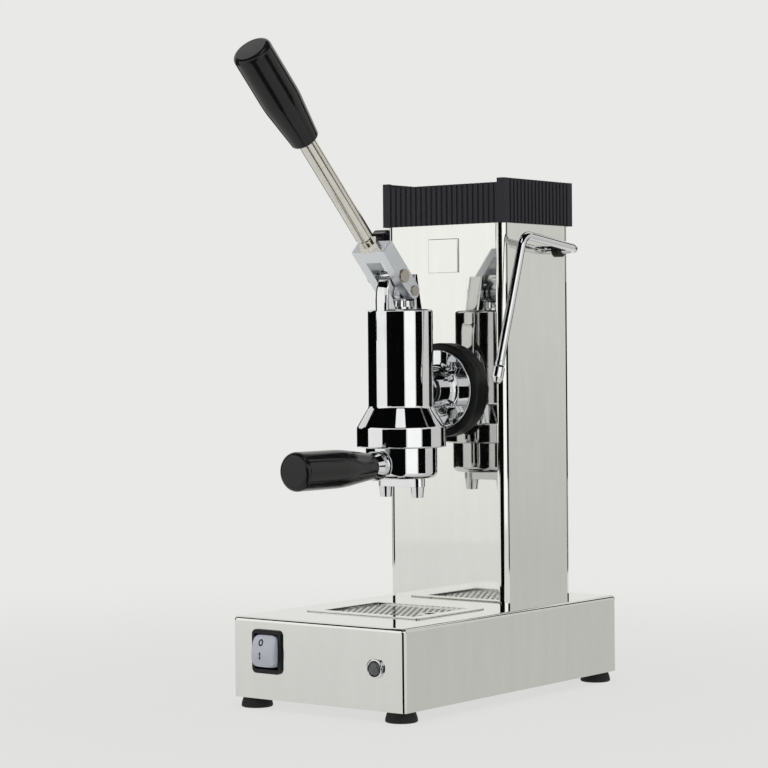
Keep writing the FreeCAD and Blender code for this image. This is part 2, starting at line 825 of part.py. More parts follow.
# Bare square plate on the column front.
plate_level = f"({column_top} - plate_drop)"
plain_plate = block(
    both("plate_width / 2"),
    (f"{column_front} - plate_thickness", column_front),
    (f"{plate_level} - plate_height", plate_level),
)
piece("front_plate", fillet(
    plain_plate, "plate_bevel",
    lambda edge: max(vertex.Point.y for vertex in edge.Vertexes) < value(column_front) - 1e-6))

# Cup tray: a moulded tray with upright ribs all round, plain corners and a skirt inside the column.


def ribbed_outline():
    """A rectangle whose sides are cut by upright grooves between plain corners."""
    half_x = value("column_width / 2 + tray_overhang")
    half_y = value("column_depth / 2 + tray_overhang")
    corner, depth = value("tray_corner"), value("rib_depth")
    middle = Vector(0, value(column_middle), 0)
    sides = (
        (Vector(1, 0, 0), Vector(0, 1, 0), half_x, half_y),
        (Vector(0, 1, 0), Vector(-1, 0, 0), half_y, half_x),
        (Vector(-1, 0, 0), Vector(0, -1, 0), half_x, half_y),
        (Vector(0, -1, 0), Vector(1, 0, 0), half_y, half_x),
    )
    points = []
    for along, inward, half, out in sides:
        points.append(middle - along * (half - depth) - inward * out)
        free = 2 * (half - corner)
        count = max(1, int(free / value("rib_pitch")))
        pitch = free / count
        for number in range(count):
            centre = -half + corner + pitch * (number + 0.5)
            for shift, sunk in ((-0.5, 0), (-0.5, depth), (0.5, depth), (0.5, 0)):
                place = centre + shift * value("rib_gap")
                points.append(middle + along * place - inward * (out - sunk))
        points.append(middle + along * (half - depth) - inward * out)
    return points


ribbed = Part.Face(Part.makePolygon(ribbed_outline() + ribbed_outline()[:1]))
walls = shaped(ribbed.extrude(Vector(0, 0, value("tray_height"))))
put(walls, z=column_top)
skirt_x = both(f"{inner_half_width} - skirt_gap")
skirt_y = (f"{inner_front} + skirt_gap", f"{column_back} - column_sheet - skirt_gap")
skirt = fillet(
    block(skirt_x, skirt_y, (f"{column_top} - skirt_depth", f"{column_top} + 1")),
    "column_bend - column_sheet", lies_along("z"))
below = fillet(
    block(both(f"{inner_half_width} - skirt_gap - skirt_wall"),
          (f"{skirt_y[0]} + skirt_wall", f"{skirt_y[1]} - skirt_wall"),
          (f"{column_top} - skirt_depth - 1", f"{column_top} + tray_floor_lift")),
    "column_bend - column_sheet", lies_along("z"))
recess_half = "column_width / 2 + tray_overhang - tray_wall"
recess = fillet(
    block(both(recess_half),
          (f"{column_front} - tray_overhang + tray_wall", f"{column_back} + tray_overhang - tray_wall"),
          (f"{column_top} + tray_floor_lift + tray_floor", f"{column_top} + tray_height + 1")),
    "recess_corner", lies_along("z"))
dips = [
    block(both("column_width / 2 + tray_overhang - tray_corner"), (start, f"{start} + tray_wall * 2"),
          (f"{column_top} + tray_height - tray_dip", f"{column_top} + tray_height + 1"))
    for start in (f"{column_front} - tray_overhang - tray_wall / 2",
                  f"{column_back} + tray_overhang - tray_wall * 1.5")
]
piece("cup_tray", cut(join(walls, skirt), below, recess, *dips))

# Drip tray: a pan with a broad rim that lies on the base, and a ledge for the grid.
rim_y = ("0 - drip_setback - drip_rim_depth / 2", "drip_rim_depth / 2 - drip_setback")
rim_top = f"({base_top} + drip_rim_thickness)"
rim = fillet(block(both("drip_rim_width / 2"), rim_y, (base_top, rim_top)), "drip_rim_corner", lies_along("z"))
pan = block(both("pan_width / 2"), pan_y, (f"{base_top} - pan_depth", f"{base_top} + drip_rim_thickness / 2"))
ledge_top = f"({rim_top} - ledge_drop)"
pan_inner = both("pan_width / 2 - pan_wall")
pan_inner_y = (f"{pan_y[0]} + pan_wall", f"{pan_y[1]} - pan_wall")
piece("drip_tray", cut(
    join(rim, pan),
    block(pan_inner, pan_inner_y, (ledge_top, f"{rim_top} + 1")),
    block(both("pan_width / 2 - pan_wall - ledge_width"),
          (f"{pan_inner_y[0]} + ledge_width", f"{pan_inner_y[1]} - ledge_width"),
          (f"{ledge_top} - ledge_thickness - 1", f"{ledge_top} + 1")),
    block(pan_inner, pan_inner_y, (f"{base_top} - pan_depth + pan_wall", f"{ledge_top} - ledge_thickness")),
))


def perforated_sheet():
    """The drip grid as one holed face: staggered rows of round holes, and a finger hole at the right."""
    half_x = value("pan_width / 2 - pan_wall - grid_gap")
    half_y = value("pan_length / 2 - pan_wall - grid_gap")
    middle_y = -value("drip_setback")
    corners = [Vector(x * half_x, middle_y + y * half_y, 0) for x, y in ((-1, -1), (1, -1), (1, 1), (-1, 1))]
    wires = [Part.makePolygon(corners + corners[:1])]
    pitch, radius, border = value("grid_hole_pitch"), value("grid_hole_radius"), value("grid_border")
    finger = Vector(half_x - border - value("finger_hole_radius"), middle_y, 0)
    row_pitch = pitch * math.sqrt(3) / 2
    rows = int((half_y - border - radius) / row_pitch)
    columns = int((half_x - border - radius) / pitch)
    for row in range(-rows, rows + 1):
        shift = pitch / 2 if row % 2 else 0
        for column in range(-columns, columns + 1):
            centre = Vector(column * pitch + shift, middle_y + row * row_pitch, 0)
            if abs(centre.x) > half_x - border - radius:
                continue
            if (centre - finger).Length < value("finger_hole_radius") + pitch:
                continue
            wires.append(Part.Wire([Part.Circle(centre, Vector(0, 0, 1), radius).toShape()]))
    wires.append(Part.Wire([Part.Circle(finger, Vector(0, 0, 1), value("finger_hole_radius")).toShape()]))
    face = Part.Face(wires, "Part::FaceMakerBullseye")
    return face.extrude(Vector(0, 0, value("grid_thickness")))


piece("drip_grid", put(shaped(perforated_sheet()), z=ledge_top))

# Boiler: an upright vessel, open below, with a filler neck on top and a flanged neck to the group.
boiler_bottom = f"({base_top} + boiler_lift)"
boiler_top = f"({boiler_bottom} + boiler_height)"
filler_top = f"({boiler_top} + filler_height)"
inner_boiler = "boiler_radius - boiler_wall"
vessel = turned([
    (inner_boiler, boiler_bottom),
    (inner_boiler, f"{boiler_top} - boiler_wall"),
    ("filler_bore_radius", f"{boiler_top} - boiler_wall"),
    ("filler_bore_radius", filler_top),
    ("filler_outer_radius", filler_top),
    ("filler_outer_radius", boiler_top),
    ("boiler_radius", boiler_top),
    ("boiler_radius", f"{boiler_bottom} + boiler_flange_thickness"),
    ("boiler_flange_radius", f"{boiler_bottom} + boiler_flange_thickness"),
    ("boiler_flange_radius", boiler_bottom),
])
put(vessel, y=column_middle)
to_axis = f"{column_middle} - {inner_front}"
neck = rod("neck_radius", to_axis, "y", "0", inner_front, flange_level)
neck_flange = rod("neck_flange_radius", "neck_flange_thickness", "y", "0", inner_front, flange_level)
bolt_ring = [f"360 / element_bolt_count * {number}" for number in range(SIZES["element_bolt_count"])]
ring_places = [
    (f"element_bolt_circle * cos({angle})", f"{column_middle} + element_bolt_circle * sin({angle})")
    for angle in bolt_ring
]
valve_x = "(0 - valve_side)"
ports = [
    rod("port_radius", "boiler_wall + 2", "z", "safety_valve_offset", column_middle, f"{boiler_top} - boiler_wall - 1"),
    rod("port_radius", "boiler_wall + 2", "z", valve_x, spindle_y, f"{boiler_top} - boiler_wall - 1"),
]
pressurestat_level = f"({boiler_bottom} + pressurestat_lift)"
side_port = rod("pressurestat_pipe_radius", "boiler_wall + 4", "x", f"{inner_boiler} - 2", column_middle,
                f"{pressurestat_level}")
piece("boiler", cut(
    join(vessel, neck, neck_flange),
    rod(inner_boiler, "boiler_height - boiler_wall", "z", "0", column_middle, boiler_bottom),
    rod("neck_bore_radius", to_axis, "y", "0", f"{inner_front} - 1", flange_level),
    *bolt_holes("flange_bolt_radius", f"{inner_front} - 1", "neck_flange_thickness + 2"),
    *[rod("element_bolt_radius + screw_clearance", "boiler_flange_thickness + 2", "z", x, y, f"{boiler_bottom} - 1")
      for x, y in ring_places],
    *ports, side_port,
))

# Filler cap with its seal.
seal = turned([
    ("filler_bore_radius", filler_top),
    ("filler_outer_radius", filler_top),
    ("filler_outer_radius", f"{filler_top} + seal_thickness"),
    ("filler_bore_radius", f"{filler_top} + seal_thickness"),
])
piece("cap_seal", put(seal, y=column_middle))
cap_bottom = f"({filler_top} + seal_thickness)"
cap = turned([
    ("0", f"{cap_bottom} - cap_plug_length"),
    ("filler_bore_radius - cap_fit", f"{cap_bottom} - cap_plug_length"),
    ("filler_bore_radius - cap_fit", cap_bottom),
    ("cap_radius", cap_bottom),
    ("cap_radius", f"{cap_bottom} + cap_height"),
    ("0", f"{cap_bottom} + cap_height"),
])
soften(cap, "knob_round", ("cap_radius", f"{cap_bottom} + cap_height"))
piece("boiler_cap", put(cap, y=column_middle))

# Heating element: a flange below the boiler with a bent tube in the water and two terminals.
element_top = f"({boiler_bottom} - element_gasket_thickness)"
element_bottom = f"({element_top} - boiler_flange_thickness)"
gasket = turned([
    (inner_boiler, element_top),
    ("boiler_flange_radius", element_top),
    ("boiler_flange_radius", boiler_bottom),
    (inner_boiler, boiler_bottom),
])
gasket_holes = [
    rod("element_bolt_radius + screw_clearance", "element_gasket_thickness + 2", "z", x, y, f"{element_top} - 1")
    for x, y in ring_places
]
piece("element_gasket", cut(put(gasket, y=column_middle), *gasket_holes))
disc = rod("boiler_flange_radius", "boiler_flange_thickness", "z", "0", column_middle, element_bottom)
disc_holes = [
    rod("element_bolt_radius + screw_clearance", "boiler_flange_thickness + 2", "z", x, y, f"{element_bottom} - 1")
    for x, y in ring_places
]
legs = [
    rod("element_tube_radius", "element_length + boiler_flange_thickness + element_terminal_length", "z", x,
        column_middle, f"{element_bottom} - element_terminal_length")
    for x in both("element_half_width")
]
bow = doc.addObject("Part::Torus", "bow")
bow.Angle3 = 180
bind(bow, Radius1="element_half_width", Radius2="element_tube_radius")
put(bow, "0", column_middle, f"{element_top} + element_length", ALONG["-y"])
piece("heating_element", join(cut(disc, *disc_holes), *legs, bow))
element_bolts = []
for x, y in ring_places:
    bolt_end = f"{boiler_bottom} + boiler_flange_thickness + element_nut_height"
    shank = rod("element_bolt_radius", f"{bolt_end} - ({element_bottom})", "z", x, y, element_bottom)
    head = hexagon("element_nut_flats", "element_nut_height", "-z", x, y, element_bottom)
    nut = hexagon("element_nut_flats", "element_nut_height", "z", x, y,
                  f"{boiler_bottom} + boiler_flange_thickness")
    element_bolts.append(join(shank, head, nut))
piece("element_bolts", several(element_bolts))

# Safety valve on the boiler top.
valve = turned([
    ("0", f"{boiler_top} - port_depth"),
    ("port_radius", f"{boiler_top} - port_depth"),
    ("port_radius", boiler_top),
    ("safety_valve_radius", boiler_top),
    ("safety_valve_radius", f"{boiler_top} + safety_valve_height / 2"),
    ("safety_valve_radius * 0.7", f"{boiler_top} + safety_valve_height / 2"),
    ("safety_valve_radius * 0.7", f"{boiler_top} + safety_valve_height"),
    ("0", f"{boiler_top} + safety_valve_height"),
])
piece("safety_valve", put(valve, "safety_valve_offset", column_middle))

# Pressurestat on the right wall of the column, and its pipe from the boiler.
pressurestat_x = (f"{inner_half_width} - pressurestat_thickness", inner_half_width)
housing = block(
    pressurestat_x,
    (f"{column_middle} - pressurestat_width / 2", f"{column_middle} + pressurestat_width / 2"),
    (f"{pressurestat_level} - pressurestat_height / 2", f"{pressurestat_level} + pressurestat_height / 2"),
)
piece("pressurestat", fillet(housing, "plate_bevel", lies_along("x")))
piece("pressurestat_pipe", rod(
    "pressurestat_pipe_radius", span((inner_boiler, pressurestat_x[0])), "x", inner_boiler, column_middle,
    pressurestat_level))

# Steam valve on the boiler top, its spindle and the knob outside the left wall.
valve_x_pair = (f"{valve_x} - valve_width / 2", f"{valve_x} + valve_width / 2")
valve_body = block(
    valve_x_pair,
    (f"{spindle_y} - valve_width / 2", f"{spindle_y} + valve_width / 2"),
    (boiler_top, f"{boiler_top} + valve_height"),
)
valve_foot = rod("port_radius", "port_depth + 1", "z", valve_x, spindle_y, f"{boiler_top} - port_depth")
spindle_seat = "(0 - valve_side)"
spindle_bore = rod("spindle_radius + spindle_fit", "valve_width", "-x", spindle_seat, spindle_y, spindle_level)
piece("steam_valve", cut(join(valve_body, valve_foot), spindle_bore))
knob_start = "(0 - column_width / 2 - knob_gap)"
stem_out = "knob_length * 0.6"
piece("steam_spindle", rod(
    "spindle_radius", f"{spindle_seat} - {knob_start} + {stem_out}", "-x", spindle_seat, spindle_y, spindle_level))
knob = turned([
    ("spindle_radius", "0"),
    ("knob_neck_radius", "0"),
    ("knob_neck_radius", "knob_length * 0.25"),
    ("knob_radius", "knob_length * 0.45"),
    ("knob_radius", "knob_length"),
    ("0", "knob_length"),
    ("0", stem_out),
    ("spindle_radius", stem_out),
])
soften(knob, "knob_round", ("knob_radius", "knob_length"))
piece("steam_knob", put(knob, knob_start, spindle_y, spindle_level, ALONG["-x"]))

# Steam wand: a bent tube that swivels in a nut on the right wall, with a nozzle.
nut_inner = f"({inner_half_width} + column_sheet + nut_collar - nut_length)"
nut = turned([
    ("wand_radius + nut_fit", "0"),
    ("nut_thread_radius", "0"),
    ("nut_thread_radius", "nut_length - nut_collar"),
    ("nut_radius", "nut_length - nut_collar"),
    ("nut_radius", "nut_length"),
    ("wand_radius + nut_fit", "nut_length"),
])
piece("wand_nut", put(nut, nut_inner, wand_y, wand_level, ALONG["x"]))
wand_corner = ("wand_out", f"{wand_y} - wand_forward", f"{wand_level} + wand_rise")
wand_end = ("wand_out", f"{wand_y} - wand_forward - wand_reach", f"{wand_level} + wand_rise - wand_fall")
wand_path = bent_path(
    [(nut_inner, wand_y, wand_level), ("wand_out", wand_y, wand_level), wand_corner, wand_end], "wand_bend")
wand_outside = swept(wand_path, value("wand_radius"))
wand_inside = swept(wand_path, value("wand_bore_radius"))
piece("steam_wand", shaped(wand_outside.cut(wand_inside)))
nozzle = turned([
    ("wand_radius", "0"),
    ("wand_radius + 1", "0"),
    ("nozzle_radius", "nozzle_length * 0.35"),
    ("nozzle_radius", "nozzle_length * 0.75"),
    ("nozzle_radius * 0.6", "nozzle_length"),
    ("0", "nozzle_length"),
    ("0", "nozzle_overlap"),
    ("wand_radius", "nozzle_overlap"),
])
wand_fall_line = Vector(0, -value("wand_reach"), -value("wand_fall")).normalize()
put(nozzle, *(f"({end}) - ({shift})" for end, shift in zip(wand_end, (
    "0",
    "0 - nozzle_overlap * wand_reach / sqrt(wand_reach ^ 2 + wand_fall ^ 2)",
    "0 - nozzle_overlap * wand_fall / sqrt(wand_reach ^ 2 + wand_fall ^ 2)",
))), Rotation(Vector(0, 0, 1), wand_fall_line))
piece("wand_nozzle", nozzle)
steam_pipe_x = "(safety_valve_offset + safety_valve_radius * 2 + steam_pipe_radius)"
steam_path = bent_path([
    (valve_x_pair[1], spindle_y, wand_level),
    (steam_pipe_x, spindle_y, wand_level),
    (steam_pipe_x, wand_y, wand_level),
    (nut_inner, wand_y, wand_level),
], "steam_pipe_bend")
piece("steam_pipe", shaped(swept(steam_path, value("steam_pipe_radius"))))

# Group casting: cylinder and bell, two ears for the lever, a neck and a flange.
lip_level = f"({bell_bottom} + bayonet_lip_height)"
groove_top = f"({lip_level} + bayonet_groove_height)"
gasket_bottom = f"({bell_bottom} + gasket_lift)"
gasket_top = f"({gasket_bottom} + gasket_thickness)"
screen_top = f"({bell_bottom} + screen_lift + screen_thickness)"
spring_top = f"({cylinder_top} - cylinder_cap)"
barrel = turned([
    ("bore_radius", screen_top),
    ("gasket_inner_radius", screen_top),
    ("gasket_inner_radius", gasket_top),
    ("gasket_outer_radius", gasket_top),
    ("gasket_outer_radius", groove_top),
    ("bayonet_groove_radius", groove_top),
    ("bayonet_groove_radius", lip_level),
    ("bayonet_lip_radius", lip_level),
    ("bayonet_lip_radius", bell_bottom),
    ("bell_radius", bell_bottom),
    ("bell_radius", cone_bottom),
    ("cylinder_radius", cylinder_bottom),
    ("cylinder_radius", cylinder_top),
    ("bush_radius", cylinder_top),
    ("bush_radius", spring_top),
    ("bore_radius", spring_top),
])
soften(barrel, "cylinder_round", ("cylinder_radius", cylinder_top))
soften(barrel, "cone_round", ("bell_radius", cone_bottom), ("cylinder_radius", cylinder_bottom))
fulcrum_y = "(0 - fulcrum_forward)"
fulcrum_level = f"({cylinder_top} + fulcrum_height)"
ear_front = "(1 - cylinder_radius)"
ear_foot = f"({cylinder_top} - cylinder_round * 2)"
ear_back = f"({ear_front} + front_ear_depth)"
front_ear = extruded([
    (ear_front, ear_foot),
    (ear_front, f"{cylinder_top} + front_ear_height"),
    (f"{fulcrum_y} - knuckle_radius + 0.5", f"{fulcrum_level} - knuckle_radius / 2"),
    (f"{fulcrum_y} + knuckle_radius - 1", f"{fulcrum_level} - knuckle_radius / 2"),
    (ear_back, f"{cylinder_top} + front_ear_height * 0.7"),
    (ear_back, f"{cylinder_top} + front_ear_height * 0.25"),
    (f"{ear_back} + 4", cylinder_top),
    (f"{ear_back} + 4", ear_foot),
], "ear_width")
knuckle = rod("knuckle_radius", "ear_width", "x", "0 - ear_width / 2", fulcrum_y, fulcrum_level)
rib_back = "(cylinder_radius + 3)"
back_ear = extruded([
    ("back_ear_front + 2", ear_foot),
    ("back_ear_front", f"{cylinder_top} + back_ear_height * 0.2"),
    ("back_ear_front", f"{cylinder_top} + back_ear_height"),
    ("back_ear_front + back_ear_top", f"{cylinder_top} + back_ear_height"),
    ("cylinder_radius - 5", f"{cylinder_top} + back_ear_height * 0.1"),
    (rib_back, f"{cylinder_top} - cylinder_cap * 2"),
    (rib_back, flange_level),
    ("bore_radius + 4", flange_level),
    ("bore_radius + 4", ear_foot),
], "ear_width")
flange_back = f"({column_front} - ring_back)"
flange_front = f"({flange_back} - group_flange_thickness)"
group_neck = rod("group_neck_radius", f"{flange_front} - bore_radius - 2", "y", "0", "bore_radius + 3", flange_level)
group_flange = rod("group_flange_radius", "group_flange_thickness", "y", "0", flange_front, flange_level)
lug_notch = block(
    ("bayonet_lip_radius - 3", "lug_radius + 0.6"), both("lug_width / 2 + 1.5"), (f"{bell_bottom} - 1", f"{lip_level} + 1"))
notches = []
for side in (0, 180):
    notch = doc.addObject("Part::Feature", "notch")
    doc.recompute()
    notch.Shape = lug_notch.Shape
    notch.Placement = FreeCAD.Placement(
        Vector(), Rotation(Vector(0, 0, 1), side - value("bayonet_angle"))).multiply(lug_notch.Placement)
    notches.append(notch)
feed = rod("feed_radius", f"{column_front} - bore_radius + 2", "y", "0", "bore_radius - 2", f"{bell_bottom} + feed_lift")
piece("group_body", cut(
    join(barrel, front_ear, knuckle, back_ear, group_neck, group_flange),
    rod("fulcrum_pin_radius", "ear_width + 2", "x", "0 - ear_width / 2 - 1", fulcrum_y, fulcrum_level),
    rod("bore_radius", f"{spring_top} - {screen_top}", "z", "0", "0", screen_top),
    feed, *notches,
    *bolt_holes("flange_bolt_radius + flange_bolt_clearance", f"{flange_front} - 1", "group_flange_thickness + 2"),
))

# Insulating ring round and behind the flange, and the bolts through it into the boiler.
ring = rod("ring_radius", "ring_depth", "y", "0", f"{column_front} - ring_depth", flange_level)
piece("insulating_ring", cut(
    ring,
    rod("group_flange_radius + ring_gap", "ring_depth - ring_back + 1", "y", "0", f"{column_front} - ring_depth - 1",
        flange_level),
    rod("neck_bore_radius", "ring_depth", "y", "0", f"{column_front} - ring_back - 1", flange_level),
    *bolt_holes("flange_bolt_radius + flange_bolt_clearance", f"{flange_back} - 1", "ring_back + 2"),
))
flange_bolts = []
for x, z in bolt_places:
    bolt_end = f"{inner_front} + neck_flange_thickness"
    head = hexagon("flange_bolt_flats", "flange_bolt_head", "-y", x, flange_front, z)
    shank = rod("flange_bolt_radius", f"{bolt_end} - ({flange_front})", "y", x, flange_front, z)
    flange_bolts.append(join(head, shank))
piece("flange_bolts", several(flange_bolts))

# Bush in the top of the cylinder.
collar_top = f"({cylinder_top} + bush_collar_height)"
piece("rod_bush", turned([
    ("rod_radius + rod_fit", spring_top),
    ("bush_radius", spring_top),
    ("bush_radius", cylinder_top),
    ("bush_collar_radius", cylinder_top),
    ("bush_collar_radius", collar_top),
    ("rod_radius + rod_fit", collar_top),
]))

# Piston with two seals, on a rod whose head is slotted for the rod pin.
piston_bottom = f"({bell_bottom} + piston_lift)"
piston_top = f"({piston_bottom} + piston_height)"
piston_radius = "bore_radius - piston_fit"
groove_radius = "bore_radius - seal_groove_depth"
low_groove = f"({piston_bottom} + seal_inset)"
high_groove = f"({piston_top} - seal_inset - seal_height)"
piston_outline = [("0", piston_bottom), (piston_radius, piston_bottom)]
for groove in (low_groove, high_groove):
    piston_outline += [
        (piston_radius, groove),
        (groove_radius, groove),
        (groove_radius, f"{groove} + seal_height"),
        (piston_radius, f"{groove} + seal_height"),
    ]
thread_start = f"({piston_top} - rod_thread_length)"
piston_outline += [
    (piston_radius, piston_top),
    ("rod_thread_radius", piston_top),
    ("rod_thread_radius", thread_start),
    ("0", thread_start),
]
piece("piston", turned(piston_outline))
seals = [
    turned([
        (groove_radius, groove),
        ("bore_radius - seal_fit", groove),
        ("bore_radius - seal_fit", f"{groove} + seal_height"),
        (groove_radius, f"{groove} + seal_height"),
    ])
    for groove in (low_groove, high_groove)
]
piece("piston_seals", several(seals))
rod_pin_y = f"({fulcrum_y} + rod_pin_arm * cos(rod_pin_angle))"
rod_pin_level = f"({fulcrum_level} - rod_pin_arm * sin(rod_pin_angle))"
rod_head_bottom = f"({rod_pin_level} - rod_head_half_height)"
stem = turned([
    ("0", thread_start),
    ("rod_thread_radius", thread_start),
    ("rod_thread_radius", piston_top),
    ("rod_radius", piston_top),
    ("rod_radius", f"{rod_head_bottom} + 1"),
    ("0", f"{rod_head_bottom} + 1"),
])
rod_head = fillet(
    block(both("ear_width / 2"), both("rod_head_half_depth"),
          (rod_head_bottom, f"{rod_pin_level} + rod_head_half_height")),
    "rod_head_half_height / 2", lies_along("x"))
slot_radius = "rod_pin_radius + rod_slot_gap"
slot_ends = [
    rod(slot_radius, "ear_width + 2", "x", "0 - ear_width / 2 - 1", y, rod_pin_level) for y in both("rod_slot_play")
]
slot_middle = block(
    both("ear_width / 2 + 1"), both("rod_slot_play"),
    (f"{rod_pin_level} - ({slot_radius})", f"{rod_pin_level} + {slot_radius}"))
piece("piston_rod", join(stem, cut(rod_head, slot_middle, *slot_ends)))


def coil(radius, bottom, top, turns):
    """A rising coil as quarter-turn arcs through points of a helix."""
    def point(quarters):
        angle = quarters * math.pi / 2
        rise = bottom + (top - bottom) * quarters / (4 * turns)
        return Vector(radius * math.cos(angle), radius * math.sin(angle), rise)

    arcs = [Part.Arc(point(n), point(n + 0.5), point(n + 1)).toShape() for n in range(int(4 * turns))]
    return Part.Wire(arcs)


spring_margin = value("spring_wire_radius + spring_end_gap")
spring_path = coil(
    value("spring_radius"), value(piston_top) + spring_margin, value(spring_top) - spring_margin,
    SIZES["spring_turns"])
piece("main_spring", shaped(swept(spring_path, value("spring_wire_radius"))))

# Shower screen and gasket, inside the bell.
screen_bottom = f"({bell_bottom} + screen_lift)"
piece("shower_screen", rod("screen_radius", "screen_thickness", "z", "0", "0", screen_bottom))
piece("group_gasket", turned([
    ("gasket_inner_radius", gasket_bottom),
    ("gasket_outer_radius", gasket_bottom),
    ("gasket_outer_radius", gasket_top),
    ("gasket_inner_radius", gasket_top),
]))

# Lever. Its own Z runs up the rod from the fulcrum, and its own Y points to the back.
lean = Rotation(Vector(1, 0, 0), value("lever_lean"))


def on_lever(item):
    """Leans a piece that was made upright at the fulcrum."""
    return put(item, "0", fulcrum_y, fulcrum_level, lean)


pin_back = "(rod_pin_arm * cos(lever_lean + rod_pin_angle))"
pin_down = "(rod_pin_arm * sin(lever_lean + rod_pin_angle))"
cheeks = extruded([
    ("0 - fork_front", "fork_top"),
    ("fork_back - fork_corner", "fork_top"),
    ("fork_back", "fork_top - fork_corner"),
    (f"{pin_back} + fork_lobe", f"0 - {pin_down}"),
    (f"{pin_back} - fork_lobe", f"0 - {pin_down}"),
    ("0 - fork_front", f"0 - {pin_down} / 2"),
], "fork_width")
lobe = rod("fork_lobe", "fork_width", "x", "0 - fork_width / 2", pin_back, f"0 - {pin_down}")
slot = block(
    both("fork_slot / 2"), both("fork_front + fork_back + fork_lobe"),
    (f"0 - {pin_down} - fork_lobe - 1", "fork_top - fork_bridge"))
fork = cut(
    join(cheeks, lobe), slot,
    rod("fulcrum_pin_radius + pin_fit", "fork_width + 2", "x", "0 - fork_width / 2 - 1"),
    rod("rod_pin_radius", "fork_width + 2", "x", "0 - fork_width / 2 - 1", pin_back, f"0 - {pin_down}"),
    rod("lever_neck_radius", "fork_bridge + 2", "z", z="fork_top - fork_bridge - 1"),
)
piece("lever_fork", on_lever(fork))


def headed_pin(radius, head_radius, gap, y, z):
    """A pin across the fork with a flat head outside each cheek."""
    half = f"(fork_width / 2 + {gap})"
    shank = rod(radius, f"2 * {half}", "x", f"0 - {half}", y, z)
    heads = [
        rod(head_radius, "pin_head_height", along, place, y, z) for along, place in (("x", half), ("-x", f"0 - {half}"))
    ]
    return join(shank, *heads)


piece("fulcrum_pin", headed_pin(
    "fulcrum_pin_radius", "fulcrum_pin_head_radius", "pin_head_gap", fulcrum_y, fulcrum_level))
piece("rod_pin", headed_pin("rod_pin_radius", "rod_pin_head_radius", "0", rod_pin_y, rod_pin_level))
nut_blank = hexagon("lock_nut_flats", "lock_nut_height", "z", z="fork_top")
nut_bore = rod("lever_neck_radius", "lock_nut_height + 2", "z", z="fork_top - 1")
piece("lock_nut", on_lever(cut(nut_blank, nut_bore)))
handle_top = "(lever_handle_start + lever_handle_length)"
tang_end = "(lever_handle_start + lever_tang_length)"
piece("lever_rod", on_lever(turned([
    ("0", "fork_top - fork_bridge"),
    ("lever_neck_radius", "fork_top - fork_bridge"),
    ("lever_neck_radius", "lever_collar_start"),
    ("lever_rod_radius", "lever_rod_start"),
    ("lever_rod_radius", "lever_handle_start"),
    ("lever_neck_radius", "lever_handle_start"),
    ("lever_neck_radius", tang_end),
    ("0", tang_end),
])))
lever_handle = turned([
    ("lever_neck_radius + tang_fit", "lever_handle_start"),
    ("lever_handle_low_radius", "lever_handle_start"),
    ("lever_handle_radius", "lever_handle_start + lever_handle_taper"),
    ("lever_handle_radius", handle_top),
    ("0", handle_top),
    ("0", f"{tang_end} + 1"),
    ("lever_neck_radius + tang_fit", f"{tang_end} + 1"),
])
soften(lever_handle, "lever_handle_round",
       ("lever_handle_radius", handle_top), ("lever_handle_low_radius", "lever_handle_start"))
piece("lever_handle", on_lever(lever_handle))

# Portafilter: a cup with two lugs and a boss for its handle, a basket inside and a double spout below.
cup_top = f"({bell_bottom} + cup_top_lift)"
cup_bottom = f"({bell_bottom} - cup_drop)"
cup = turned([
    ("outlet_radius", cup_bottom),
    ("cup_radius", cup_bottom),
    ("cup_radius", cup_top),
    ("cup_bore_radius", cup_top),
    ("cup_bore_radius", f"{cup_bottom} + cup_floor"),
    ("outlet_radius", f"{cup_bottom} + cup_floor"),
])
soften(cup, "cup_round", ("cup_radius", cup_bottom))
lug_bottom = f"({lip_level} + lug_gap)"
lug_ring = turned([
    ("cup_bore_radius + 1", lug_bottom),
    ("lug_radius", lug_bottom),
    ("lug_radius", f"{lug_bottom} + lug_height"),
    ("cup_bore_radius + 1", f"{lug_bottom} + lug_height"),
])
lugs = overlap(lug_ring, block(
    both("lug_radius + 1"), both("lug_width / 2"), (f"{lug_bottom} - 1", f"{lug_bottom} + lug_height + 1")))
handle_level = f"({bell_bottom} - handle_drop)"
boss = rod("handle_boss_radius", "handle_boss_end - cup_bore_radius - 1", "-y", "0", "0 - cup_bore_radius - 1", handle_level)
stud = rod("handle_stud_radius", "handle_stud_length + ferrule_length + 1", "-y", "0", "1 - handle_boss_end", handle_level)
piece("portafilter_cup", join(cup, lugs, boss, stud))
rim_level = f"({cup_top} + basket_rim)"
basket_radius = "(cup_bore_radius - basket_gap)"
basket_floor = f"({cup_top} - basket_depth)"
piece("filter_basket", turned([
    ("0", basket_floor),
    (basket_radius, basket_floor),
    (basket_radius, cup_top),
    ("basket_rim_radius", cup_top),
    ("basket_rim_radius", rim_level),
    (f"{basket_radius} - basket_wall", rim_level),
    (f"{basket_radius} - basket_wall", f"{basket_floor} + basket_wall"),
    ("0", f"{basket_floor} + basket_wall"),
]))


def on_handle(item, start):
    """Lays a piece that was made upright along the portafilter's handle."""
    return put(item, "0", f"0 - ({start})", handle_level, ALONG["-y"])


